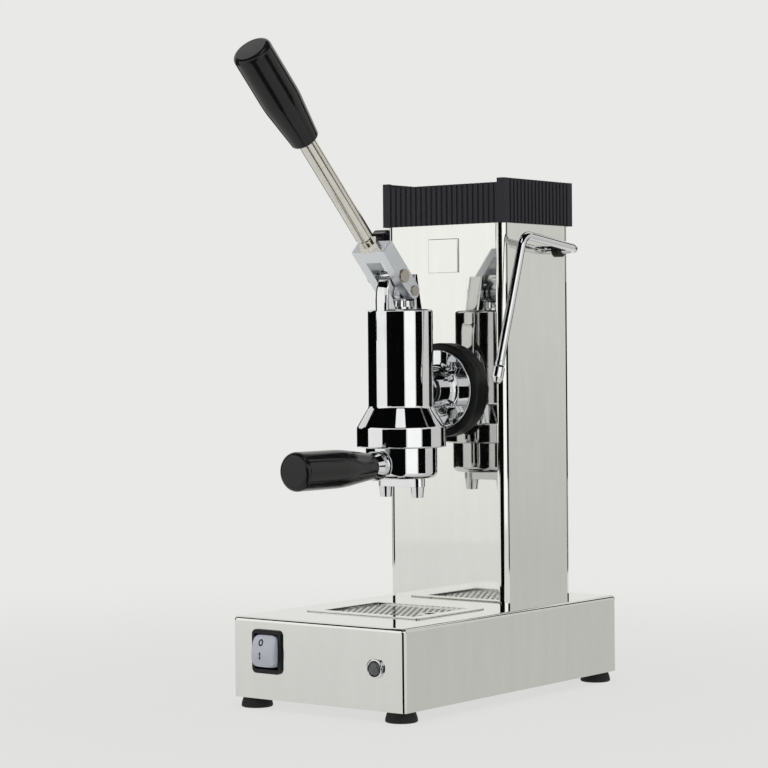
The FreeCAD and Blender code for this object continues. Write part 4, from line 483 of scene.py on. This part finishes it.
# %% Front and back ear
FULCRUM = (-18.5, 400.5)
FRONT_EAR_FOOT, BACK_EAR_TOP, EAR_HALF_WIDTH = 340, 403, 7.5
ear("group_front_ear",
    [(FRONT_EAR_FOOT, -31.05), (372, -31.05), (388, -30.7), (395, -27.5), (FULCRUM[1], -25)],
    [(FRONT_EAR_FOOT, -25), (359, -25), (361, -14), (371, -14), (376, -18), (386, -18), (394, -13.5),
     (FULCRUM[1], -12)],
    np.linspace(FRONT_EAR_FOOT, FULCRUM[1], 48), EAR_HALF_WIDTH, top=(*FULCRUM, 6.5))
ear("group_back_ear",
    [(GROUP_LEVEL, 27), (360, 27), (362, 14.5), (372, 12.5), (BACK_EAR_TOP, 12.5)],
    [(GROUP_LEVEL, 34), (345, 34), (356, 31), (371, 25.5), (388, 21.5), (BACK_EAR_TOP, 18)],
    np.append(np.linspace(GROUP_LEVEL, 402.2, 70), [402.7, BACK_EAR_TOP]), EAR_HALF_WIDTH)

# %% [markdown]
# ## Handles
#
# The handles are pressed from phenolic in a two-part mould: narrow at the metal, widening over a cone to a
# straight grip. The cone could meet the grip in a plain edge, but the mould is worn soft there, so a long arc
# joins the two.

# %% Two grips
GRIP_BORE = 5.1
LEVER_GRIP_START = 170.5
HANDLE_LEVEL, HANDLE_START = 222.5, 49.5
lever_place = Matrix.Translation((0, *FULCRUM)) @ Matrix.Rotation(LEVER_LEAN, 4, "X")


def grip(start, length, low, high, taper, waist):
    """A handle's profile: a cone of length taper that runs out into a cylinder over an arc of radius waist.

    The radius goes from low to high, and both ends are rounded.
    """
    return [(GRIP_BORE, start, 0), (low, start, 2), (high, start + taper, waist), (high, start + length, 4.5),
            (0, start + length, 0)]


turned("lever_grip", grip(LEVER_GRIP_START, length=105.5, low=13.3, high=18.3, taper=46, waist=120),
       "lever", lever_place, node="lever_handle")
turned("portafilter_grip", grip(HANDLE_START, length=110.5, low=12.4, high=17.9, taper=44.5, waist=200),
       "portafilter", pointing("-y", 0, 0, HANDLE_LEVEL), node="portafilter_handle")

# %% [markdown]
# ## Knob of the steam valve
#
# A phenolic knob with a slim collar, pressed on the spindle. Twelve shallow flutes give wet fingers a hold.
# They could be cut with a boolean, but a wave in the radius keeps the mesh even.

# %% Fluted knob
KNOB_RADIUS, COLLAR_RADIUS, SPINDLE_RADIUS, SPINDLE_DEPTH = 15, 9, 4, 18.6
FLUTES, FLUTE_DEPTH = 12, 0.8
low, high = np.array(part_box("steam_knob")) / MM
knob_length = high[0] - low[0]
turned("fluted_knob", [
    (SPINDLE_RADIUS, 0, 0), (COLLAR_RADIUS, 0, 1), (COLLAR_RADIUS, 6.5, 2), (KNOB_RADIUS, 13, 3),
    (KNOB_RADIUS, knob_length, 3), (0, knob_length, 0), (0, SPINDLE_DEPTH, 0),
    (SPINDLE_RADIUS, SPINDLE_DEPTH, 0), (SPINDLE_RADIUS, 0, 0)],
    "steam_knob", pointing("-x", high[0], *(low + high)[1:] / 2), flutes=FLUTES, flute_depth=FLUTE_DEPTH,
    node="steam_knob")

# %% [markdown]
# ## Ring, ferrule and feet
#
# These sit on an axis too. On the real ones every rim is rounded, and that rim is the line of light by which
# the eye reads a black ring on a black handle.

# %% Ring and ferrule
low, high = np.array(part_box("insulating_ring")) / MM
ring_radius = (high[2] - low[2]) / 2
RING_SEAT, RING_SEAT_DEPTH, RING_THICK = FLANGE_RADIUS + 0.3, 7.5, 10.5
turned("ring_rounded", [
    (RING_SEAT, 0, 0), (RING_SEAT + 0.6, 0, 0.6), (ring_radius, 0, 3.2), (ring_radius, RING_THICK, 0.6),
    (RECESS_RADIUS, RING_THICK, 0), (RECESS_RADIUS, RING_SEAT_DEPTH, 0), (RING_SEAT, RING_SEAT_DEPTH, 0),
    (RING_SEAT, 0, 0)], "machine", pointing("+y", 0, low[1], GROUP_LEVEL), node="insulating_ring")
FERRULE_BORE, FERRULE_START, FERRULE_RADIUS = 5, 38, 14
turned("ferrule_rounded", [
    (FERRULE_BORE, FERRULE_START, 0), (FERRULE_RADIUS, FERRULE_START, 1.2), (FERRULE_RADIUS, 43.2, 3),
    (11.5, HANDLE_START, 0.4), (FERRULE_BORE, HANDLE_START, 0), (FERRULE_BORE, FERRULE_START, 0)],
    "portafilter", pointing("-y", 0, 0, HANDLE_LEVEL), node="portafilter_ferrule")

# %% Four feet
FOOT_RADIUS, FOOT_HEIGHT, SCREW_HOLE, HEAD_ROOM, HEAD_DEPTH = 15, 10, 2.2, 6, 4
for corner in ("front_left", "front_right", "rear_left", "rear_right"):
    low, high = np.array(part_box(f"foot_{corner}")) / MM
    turned(f"rounded_foot_{corner}", [
        (SCREW_HOLE, HEAD_DEPTH, 0), (HEAD_ROOM, HEAD_DEPTH, 0.3), (HEAD_ROOM, 0, 0.6), (FOOT_RADIUS, 0, 1.5),
        (14.4, 4, 1), (12.5, FOOT_HEIGHT, 0.6), (SCREW_HOLE, FOOT_HEIGHT, 0), (SCREW_HOLE, HEAD_DEPTH, 0)],
        "machine", Matrix.Translation((*(low + high)[:2] / 2, 0)), around=72, node=f"foot_{corner}")

# %% [markdown]
# ## Steam wand
#
# A thin chromed tube bent twice by hand, so each bend is an arc between two straight runs. The tube is a
# circle carried along that path. At each point the circle stands on the path's own direction.

# %% The bent tube
OFF_THE_PATH = (0.3, 0.5, 0.81)


def tube(name, path, radius, body, around=40, **look):
    """A circle carried along a path: P(s, t) = C(s) + r (cos t N + sin t B).

    N and B are square to the path and to each other. N is also square to a direction that no run follows.
    """
    ahead = np.gradient(path, axis=0)
    ahead = ahead / np.linalg.norm(ahead, axis=1, keepdims=True)
    side = np.cross(ahead, OFF_THE_PATH)
    side = side / np.linalg.norm(side, axis=1, keepdims=True)
    over = np.cross(ahead, side)
    turn = np.linspace(0, 2 * math.pi, around, endpoint=False)[:, None]
    grid = path[:, None] + radius * (np.cos(turn) * side[:, None] + np.sin(turn) * over[:, None])
    return surface(name, grid, body, **look)


WAND_RADIUS, WAND_BEND = 4.1, 13
WAND_START = np.array([61.5, 165.3, 428.2])
WAND_BACK = np.array([94, 165.3, 428.2])
WAND_CORNER = np.array([94, 69.9, 439.5])
WAND_END = np.array([94, 28.6, 315.8])
wand_path = rounded([WAND_START, WAND_BACK, WAND_CORNER, WAND_END], [WAND_BEND, WAND_BEND], 16)
tube("steam_tube", wand_path, WAND_RADIUS, "steam_wand", node="steam_wand")

# %% [markdown]
# ## Nozzle
#
# The nozzle is turned from bar and pushed over the end of the tube. It is made upright on the lathe, and then
# leans the way the last run of the tube falls.

# %% Nozzle
NOZZLE_OVERLAP, NOZZLE_RADIUS, NOZZLE_LENGTH = 4, 5.6, 21
fall = (WAND_END - WAND_CORNER) / np.linalg.norm(WAND_END - WAND_CORNER)
nozzle_lean = Matrix.Rotation(math.atan2(-fall[1], fall[2]), 4, "X")
turned("steam_nozzle", [
    (3, 0, 0), (4.5, 0, 0.5), (4.5, 4.5, 0.8), (NOZZLE_RADIUS, 6.5, 0.8), (NOZZLE_RADIUS, 16.5, 1.5),
    (3.2, NOZZLE_LENGTH, 0.8), (0, NOZZLE_LENGTH, 0)], "steam_wand",
    Matrix.Translation(WAND_END - NOZZLE_OVERLAP * fall) @ nozzle_lean, around=64, node="wand_nozzle")

# %% [markdown]
# ## Broken edges
#
# A cast fork, a hexagon nut or a moulded bezel has no knife edge. Its faces are right as they are, so a copy
# of each solid is merged into whole faces, and a Bevel modifier rounds the edges that are left.

# %% Copies with rounded edges
FLAT_ANGLE, BEVEL_ANGLE = 0.5, 32


def merged_copy(node, flat_angle=0.0):
    """A piece that copies a node, with its loose triangles joined. It stands for the node.

    Triangles that turn by less than flat_angle degrees are made one whole face.
    """
    shape = bmesh.new()
    shape.from_mesh(nodes[node].data)
    bmesh.ops.remove_doubles(shape, verts=shape.verts, dist=SAME_PLACE)
    if flat_angle:
        bmesh.ops.dissolve_limit(
            shape, angle_limit=math.radians(flat_angle), verts=shape.verts, edges=shape.edges)
    mesh = bpy.data.meshes.new(node)
    shape.to_mesh(mesh)
    shape.free()
    return new_piece(f"{node}_copy", mesh, body_of(nodes[node])[0], node=node)


def broken_edges(node, width):
    """A copy of a node whose sharp edges are rounded by width millimetres."""
    piece = merged_copy(node, FLAT_ANGLE)
    bevel = piece.modifiers.new("broken_edges", "BEVEL")
    bevel.width = width * MM
    bevel.segments = 3
    bevel.limit_method = "ANGLE"
    bevel.angle_limit = math.radians(BEVEL_ANGLE)
    bevel.harden_normals = True


for node, width in {
    "lever_fork": 1.3, "lock_nut": 0.6, "fulcrum_pin": 0.4, "rod_pin": 0.4, "flange_bolts": 0.5,
    "double_spout": 1.2, "front_plate": 0.3, "drip_tray": 0.5, "switch_housing": 0.8, "mains_inlet": 0.6,
}.items():
    broken_edges(node, width)

# %% [markdown]
# ## Main spring
#
# The spring stands between the piston and the cap of the barrel, and the lever loads it by lifting the
# piston. A stiff copy on the piston would ride up through the cap. This one is still a stiff copy of the
# solid, with a mesh of its own, on the node's body.

# %% A copy of the spring
spring = merged_copy("main_spring")
low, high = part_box("main_spring")
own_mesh(spring)

# %% [markdown]
# ## Rocker of the switch
#
# The rocker is a pillow of light grey plastic with a crowned face. It could be a cube with a Bevel and a
# Subdivision Surface modifier, but the crown is one plain arc from top to bottom. So it is a set of rounded
# squares that shrink to the middle of the face, and the arc gives each point its depth.

# %% Rocker
ROCKER_WIDE, ROCKER_TALL = 13.6, 14.8
ROCKER_MIDDLE, ROCKER_ARC, ROCKER_EDGE = 10.6, 40.5, 1.6
ROCKER_TIP = math.radians(-8)
rocker_place = Matrix.Translation((-58, -127.5, 54.3)) @ Matrix.Rotation(ROCKER_TIP, 4, "X")


def rocker_face(z):
    """The depth of the crowned face at a height z above the axis: R - middle - sqrt(R^2 - z^2)."""
    return ROCKER_ARC - ROCKER_MIDDLE - np.sqrt(ROCKER_ARC ** 2 - z ** 2)


turn = np.linspace(0, 2 * math.pi, 96, endpoint=False)
across, along = (np.sign(wave) * np.abs(wave) ** 0.4 for wave in (np.cos(turn), np.sin(turn)))
bend = np.linspace(0, math.pi / 2, 8)
to_middle = np.linspace(ROCKER_EDGE, ROCKER_WIDE, 16)[1:]
inset = np.concatenate([[0], ROCKER_EDGE * (1 - np.cos(bend)), to_middle])[:, None]
sunk = np.concatenate([[0], ROCKER_EDGE * (1 - np.sin(bend)), 0 * to_middle])[:, None]
x = (ROCKER_WIDE - inset) * across
z = (ROCKER_TALL - inset * ROCKER_TALL / ROCKER_WIDE) * along
y = rocker_face(z) + sunk
y[0] = 0
surface("rocker_pillow", placed(np.stack([x, y, z], axis=-1), rocker_place), "switch_rocker",
        node="switch_rocker")

# %% [markdown]
# ## Marks on the rocker
#
# A ring for off and a bar for on are printed on the face. An image could carry them, but a thin band of ink
# laid on the same arc stays sharp from any distance and tips with the rocker.

# %% Ring and bar
MARK_ASIDE = -2.8
OFF_WIDE, OFF_TALL, OFF_LEVEL = 2, 2.6, 7.4
ON_WIDE, ON_TALL, ON_LEVEL = 0.95, 3.2, -4.9
INK_HALF, INK_UNDER, INK_OVER = 0.75, -0.1, 0.08


def on_rocker(x, out, z):
    """Points of the rocker's own frame, laid on its face and lifted by out."""
    return placed(np.stack([x, rocker_face(z) - out, z], axis=-1), rocker_place)


band = INK_HALF * np.array([[-1], [1], [1], [-1], [-1]])
lift = np.array([[INK_UNDER], [INK_UNDER], [INK_OVER], [INK_OVER], [INK_UNDER]])
ring = on_rocker(MARK_ASIDE + (OFF_WIDE + band) * np.cos(turn), lift + 0 * turn,
                 OFF_LEVEL + (OFF_TALL + band) * np.sin(turn))
surface("off_mark", ring, "switch_rocker", made=ink, slot="black_plastic")
thick = lift[1:3] + 0 * turn
bar = on_rocker(MARK_ASIDE + ON_WIDE * across + 0 * thick, thick, ON_LEVEL + ON_TALL * along + 0 * thick)
surface("on_mark", bar, "switch_rocker", made=ink, slot="black_plastic")

# %% [markdown]
# ## Lamp
#
# A chromed ring is pushed through the sheet and holds a small dome of smoke-grey plastic. The lamp is off, so
# the dome needs no light of its own. Black rubber set into the gap between the two is painted shade: it makes
# the gap dark, so that the dome reads as a separate piece.

# %% Lamp
low, high = np.array(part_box("lamp_housing")) / MM
lamp_place = pointing("+y", (low + high)[0] / 2, low[1], (low + high)[2] / 2)
rim_radius = (high[2] - low[2]) / 2
LENS_RADIUS, LAMP_BORE, LAMP_BODY = 6.2, 6.9, 7.6
LAMP_SEAT, LAMP_END = 5, 23
DOME_EDGE, DOME_RISE = 1.0, 2.1
turned("lamp_ring", [
    (0, LAMP_SEAT, 0), (LAMP_BORE, LAMP_SEAT, 0), (LAMP_BORE, 0.5, 0.3), (LAMP_BODY, 0, 0.6),
    (rim_radius, 0.6, 0.8), (rim_radius, 3, 0.2), (LAMP_BODY, 3, 0), (LAMP_BODY, LAMP_END, 0),
    (0, LAMP_END, 0)], "machine", lamp_place, node="lamp_housing")
bend = np.linspace(0, math.pi / 2, 12)
dome = np.stack([LENS_RADIUS * np.sin(bend), DOME_EDGE - DOME_RISE * np.cos(bend), 0 * bend], axis=1)
turned("lamp_dome", [*dome, (LENS_RADIUS, LAMP_SEAT, 0), (0, LAMP_SEAT, 0)], "machine", lamp_place,
       node="lamp_lens")
# Painted shade: a ring of black rubber set into the gap round the dome makes the gap dark.
turned("lamp_gap_painted_shade", [
    (LENS_RADIUS, LAMP_SEAT, 0), (LENS_RADIUS, 1.6, 0), (LAMP_BORE, 1.6, 0), (LAMP_BORE, LAMP_SEAT, 0),
    (LENS_RADIUS, LAMP_SEAT, 0)], "machine", lamp_place, made=rubber, slot="black_plastic")

# %% [markdown]
# ## Camera
#
# The camera stands where the photograph was taken: to the right in front of the machine, at the height of the
# barrel, and far off, so that upright edges stay nearly parallel. Its place was worked out from the corners
# of the base and the column. It is written as angles, which are easier to read than a matrix.

# %% Camera
PICTURE_WIDTH = 768
SENSOR_WIDTH = 36
UP = np.array([0, 0, 1])


def camera_at(place, yaw, pitch, roll, focal):
    """A camera at a place in millimetres, with its focal length in pixels.

    Yaw turns it to the left of +Y, pitch up, and roll to the right. It gives back the level directions that
    it has ahead and on its right.
    """
    yaw, pitch, roll = np.radians([yaw, pitch, roll])
    ahead = np.array([-math.sin(yaw), math.cos(yaw), 0])
    right = np.array([math.cos(yaw), math.sin(yaw), 0])
    look = math.cos(pitch) * ahead + math.sin(pitch) * UP
    rise = math.cos(pitch) * UP - math.sin(pitch) * ahead
    side = math.cos(roll) * right + math.sin(roll) * rise
    top = math.cos(roll) * rise - math.sin(roll) * right
    lens = bpy.data.cameras.new("camera")
    lens.sensor_width = SENSOR_WIDTH
    lens.lens = focal / PICTURE_WIDTH * SENSOR_WIDTH
    lens.clip_start = 0.05
    view = bpy.data.objects.new("camera", lens)
    axes = np.stack([side, top, -look, np.array(place) * MM], axis=1)
    view.matrix_world = Matrix(np.vstack([axes, (0, 0, 0, 1)]).tolist())
    bpy.context.scene.collection.objects.link(view)
    bpy.context.scene.camera = view
    return ahead, right


view_ahead, view_right = camera_at(
    (1373.5, -1807.4, 330.3), yaw=37.636, pitch=-0.79, roll=-0.506, focal=2394.587)
print(f"camera with a {bpy.context.scene.camera.data.lens:.0f} mm lens")

# %% [markdown]
# ## Soft boxes
#
# Polished metal has no look of its own: it shows the room. Two of the lamps show in the chrome as white
# stripes, so each stands at the angle where a corner or the cone of the machine mirrors it. The other two
# only light the machine. Brightness is given as radiance, which is what a mirror shows, and the power follows
# from the size of the lamp.

# %% Soft boxes
HIGHEST_AIM = 0.4


def around_machine(angle, distance, height):
    """Places in metres at angles a to the right of the camera, seen from the machine.

    P = d (sin a R - cos a A) + h Z, with R to the right of the camera and A ahead of it.
    """
    angle = np.radians(angle)[..., None]
    flat = np.sin(angle) * view_right - np.cos(angle) * view_ahead
    return np.asarray(distance)[..., None] * flat + np.asarray(height)[..., None] * UP


def facing(place, target):
    """A matrix at a place whose -Z looks to the target, with X level."""
    away = (place - target) / np.linalg.norm(place - target)
    flat = np.cross(UP, away)
    flat = flat / np.linalg.norm(flat)
    axes = np.stack([flat, np.cross(away, flat), away, place], axis=1)
    return Matrix(np.vstack([axes, (0, 0, 0, 1)]).tolist())


def soft_box(name, place, width, tall, radiance, in_mirrors=True):
    """A rectangular lamp aimed at the machine. Its power is pi times radiance times area."""
    lamp = bpy.data.lights.new(name, "AREA")
    lamp.shape = "RECTANGLE"
    lamp.size, lamp.size_y = width, tall
    lamp.energy = math.pi * radiance * width * tall
    item = bpy.data.objects.new(name, lamp)
    item.matrix_world = facing(place, np.array([0, 0, min(place[2], HIGHEST_AIM)]))
    item.visible_glossy = in_mirrors
    bpy.context.scene.collection.objects.link(item)
    print(f"{name}: {lamp.energy:.1f} W")


soft_box("soft_box_front_left", around_machine(-72, 1.9, 0.75), 1.9, 1.5, radiance=0.31, in_mirrors=False)
soft_box("soft_box_right", around_machine(33, 1.9, 0.75), 1.3, 1.5, radiance=0.38)
soft_box("strip_over_camera", around_machine(-3, 0.68, 1.4), 0.47, 0.6, radiance=1.05)
soft_box("soft_box_overhead", np.array([0, -0.1, 2.2]), 1.4, 1.4, radiance=1.3, in_mirrors=False)

# %% [markdown]
# ## Black, grey and white card
#
# Between the lamps a photographer sets black card, because a mirror needs dark lines to show where a corner
# is. A white card that fades to the floor gives the front of the column its slow fall of light, and a grey
# one keeps the side darker. Real card is lit by the lamps. Here the pale ones shine a little by themselves,
# which gives the same picture in the metal with less noise.

# %% Three kinds of card
FADE_HEIGHT = 0.4
CARD_FINISH = {
    "code": "0E0E0E", "tone": "101010", "roughness": (0.9, 1.0), "grain": 50, "Specular_IOR_Level": 0.0}
# Black paper: dull, with no shine at all.
black_card = finish("studio_black_card", **CARD_FINISH)


def shining_card(name, code, at_floor, above):
    """A card that shines in a colour. Its strength goes from at_floor up to above at the fade height."""
    made = finish(name, **CARD_FINISH, Emission_Color=colour(code))
    tree = made.node_tree
    place = add(tree, "ShaderNodeTexCoord").outputs["Object"]
    height = add(tree, "ShaderNodeSeparateXYZ", {"Vector": place}).outputs["Z"]
    strength = add(tree, "ShaderNodeMapRange", {
        "Value": height, "From Max": FADE_HEIGHT, "To Min": at_floor, "To Max": above}).outputs["Result"]
    tree.links.new(strength, tree.nodes["Principled BSDF"].inputs["Emission Strength"])
    return made


grey_card = shining_card("studio_grey_card", "D4D4D1", 0.91, 1.06)
white_card = shining_card("studio_white_card", "E9E9E7", 1.06, 1.31)
print("three kinds of card, two of them pale")

# %% [markdown]
# ## Sheets of the studio
#
# A card is a strip of a cylinder round the machine. Some lie on the floor first and then stand up, because a
# low mirror also sees the floor. Planes could be set up by hand, but the angle at which a mirror shows a card
# is what matters, so the angle is what is written.

# %% Helpers for sheets
CARD_DISTANCE, CARD_STEPS = 1.7, 12


def flat_piece(name, points, faces, made):
    """A piece of the studio, which is no part of the machine."""
    mesh = bpy.data.meshes.new(name)
    mesh.from_pydata(points.reshape(-1, 3).tolist(), [], faces.tolist())
    mesh.materials.append(made)
    item = bpy.data.objects.new(name, mesh)
    bpy.context.scene.collection.objects.link(item)
    print(f"{name}: {len(mesh.polygons)} faces")
    return item


def disc(name, radius, height, made, corners=96):
    """A level disc of one face: (r cos t, r sin t, h)."""
    turn = np.linspace(0, 2 * math.pi, corners, endpoint=False)
    points = np.stack([radius * np.cos(turn), radius * np.sin(turn), height + 0 * turn], axis=1)
    return flat_piece(name, points, np.arange(corners)[None], made)


def upright(start, end, low, high):
    """A grid round the machine between two angles in degrees and two heights in metres."""
    angles = np.linspace(start, end, CARD_STEPS)[:, None]
    return around_machine(angles, [CARD_DISTANCE, CARD_DISTANCE], [low, high])


def card(name, grid, foot=None, made=black_card):
    """A sheet over a grid. With a foot, it lies on the floor from there on before it stands up."""
    if foot is not None:
        grid = np.concatenate([np.broadcast_to(foot, (CARD_STEPS, 3))[:, None], grid], axis=1)
    here = np.arange(grid.size // 3).reshape(grid.shape[:2])
    faces = np.stack([here[:-1, :-1], here[1:, :-1], here[1:, 1:], here[:-1, 1:]], axis=-1).reshape(-1, 4)
    return flat_piece(name, grid, faces, made)


print(f"cards stand {CARD_DISTANCE} m from the machine")

# %% [markdown]
# ## Cards round the machine
#
# Each card is one dark or pale stripe in the barrel. A dark ceiling in front gives the cone its black, and it
# is open at the back, so that the base stays pale from above. The cards show only in reflections: they cast
# no shadow, and the camera sees the pale room through them.

# %% Cards and a dark ceiling
FLOOR, LOW_TOP, CARD_TOP, CEILING = 0.003, 0.6, 1.3, 1.65
FOOT_DISTANCE = 1.35
BAND_LOW, BAND_HIGH = 0.12, 0.44
CEILING_MIDDLE, CEILING_EDGE = 0.5, 2.3
front_corner, rear_corner = np.array([0.105, -0.13, FLOOR]), np.array([0.105, 0.3, FLOOR])
along_side = np.linspace(front_corner, rear_corner, CARD_STEPS)
ceiling_angles = np.linspace(-120, 120, 36)[:, None]
front_ceiling = around_machine(ceiling_angles, [CEILING_MIDDLE, CEILING_EDGE], [CEILING, CEILING])
sheets = [
    card("card_behind_camera", upright(-34, 12, FLOOR, LOW_TOP), front_corner),
    card("card_side", upright(83, 118, FLOOR, CARD_TOP), along_side, grey_card),
    card("card_front_left", upright(-93, -50, FLOOR, CARD_TOP), made=white_card),
    disc("dark_ceiling", CEILING_MIDDLE, CEILING, black_card),
    card("dark_front_ceiling", front_ceiling)]
for start, end, top in ((66, 82, LOW_TOP), (119, 134, CARD_TOP), (150, 166, LOW_TOP), (194, 214, LOW_TOP),
                        (238, 266, CARD_TOP)):
    foot = around_machine(np.linspace(start, end, CARD_STEPS), FOOT_DISTANCE, FLOOR)
    sheets.append(card(f"card_{start}", upright(start, end, FLOOR, top), foot))
# Low bands at the height of the group darken its round chrome, and leave flat faces pale from above.
for start, end in ((-50, -34), (54, 66), (134, 150), (214, 238)):
    sheets.append(card(f"band_{start}", upright(start, end, BAND_LOW, BAND_HIGH)))
for sheet in sheets:
    sheet.visible_camera = False
    sheet.visible_diffuse = False
    sheet.visible_shadow = False

# %% [markdown]
# ## Floor
#
# The floor takes the machine's shadow, and further out it glows at the level of the background, so that the
# two meet without an edge. A plain lit floor would end in a line at the horizon.

# %% Floor
PALE = "E9E9E7"
SHADOW_END, GLOW_START, GLOW_NEAR = 0.15, 1.3, 0.8


def seen(tree):
    """1 for rays from the camera, a mirror or glass, and 0 for light that falls on the machine."""
    path = add(tree, "ShaderNodeLightPath").outputs
    either = add(tree, "ShaderNodeMath", {
        0: path["Is Camera Ray"], 1: path["Is Glossy Ray"]}, operation="MAXIMUM").outputs[0]
    return add(tree, "ShaderNodeMath", {
        0: either, 1: path["Is Transmission Ray"]}, operation="MAXIMUM").outputs[0]


# Matt paint: no shine, so that the machine stands on no mirror.
floor_paint = finish("matt_pale_floor", PALE, "E6E6E4", (0.85, 0.95), 60, Specular_IOR_Level=0.1)
tree = floor_paint.node_tree
glow = add(tree, "ShaderNodeEmission", {"Color": colour(PALE), "Strength": 1.0})
place = add(tree, "ShaderNodeTexCoord").outputs["Object"]
distance = add(tree, "ShaderNodeVectorMath", {0: place}, operation="LENGTH").outputs["Value"]
far = add(tree, "ShaderNodeMapRange", {
    "Value": distance, "From Min": SHADOW_END, "From Max": GLOW_START, "To Min": GLOW_NEAR, "To Max": 1.0},
    interpolation_type="SMOOTHSTEP").outputs["Result"]
share = add(tree, "ShaderNodeMath", {0: far, 1: seen(tree)}, operation="MULTIPLY").outputs[0]
mixed = add(tree, "ShaderNodeMixShader", {
    0: share, 1: tree.nodes["Principled BSDF"].outputs["BSDF"], 2: glow.outputs["Emission"]})
tree.links.new(mixed.outputs["Shader"], tree.nodes["Material Output"].inputs["Surface"])
disc("floor", 12, 0, floor_paint)

# %% [markdown]
# ## Background
#
# Rays that reach the eye see the pale background at full strength. The light that falls on the machine comes
# mostly from the soft boxes, so the same background is weaker there.

# %% World
FILL_STRENGTH = 0.45
world = bpy.data.worlds.new("studio")
world.use_nodes = True
bpy.context.scene.world = world
background = world.node_tree.nodes["Background"]
background.inputs["Color"].default_value = colour(PALE)
strength = add(world.node_tree, "ShaderNodeMapRange", {
    "Value": seen(world.node_tree), "To Min": FILL_STRENGTH, "To Max": 1.0})
world.node_tree.links.new(strength.outputs["Result"], background.inputs["Strength"])
bpy.context.scene.view_settings.view_transform = "Standard"
print(f"the background lights the machine at {FILL_STRENGTH:.0%}")
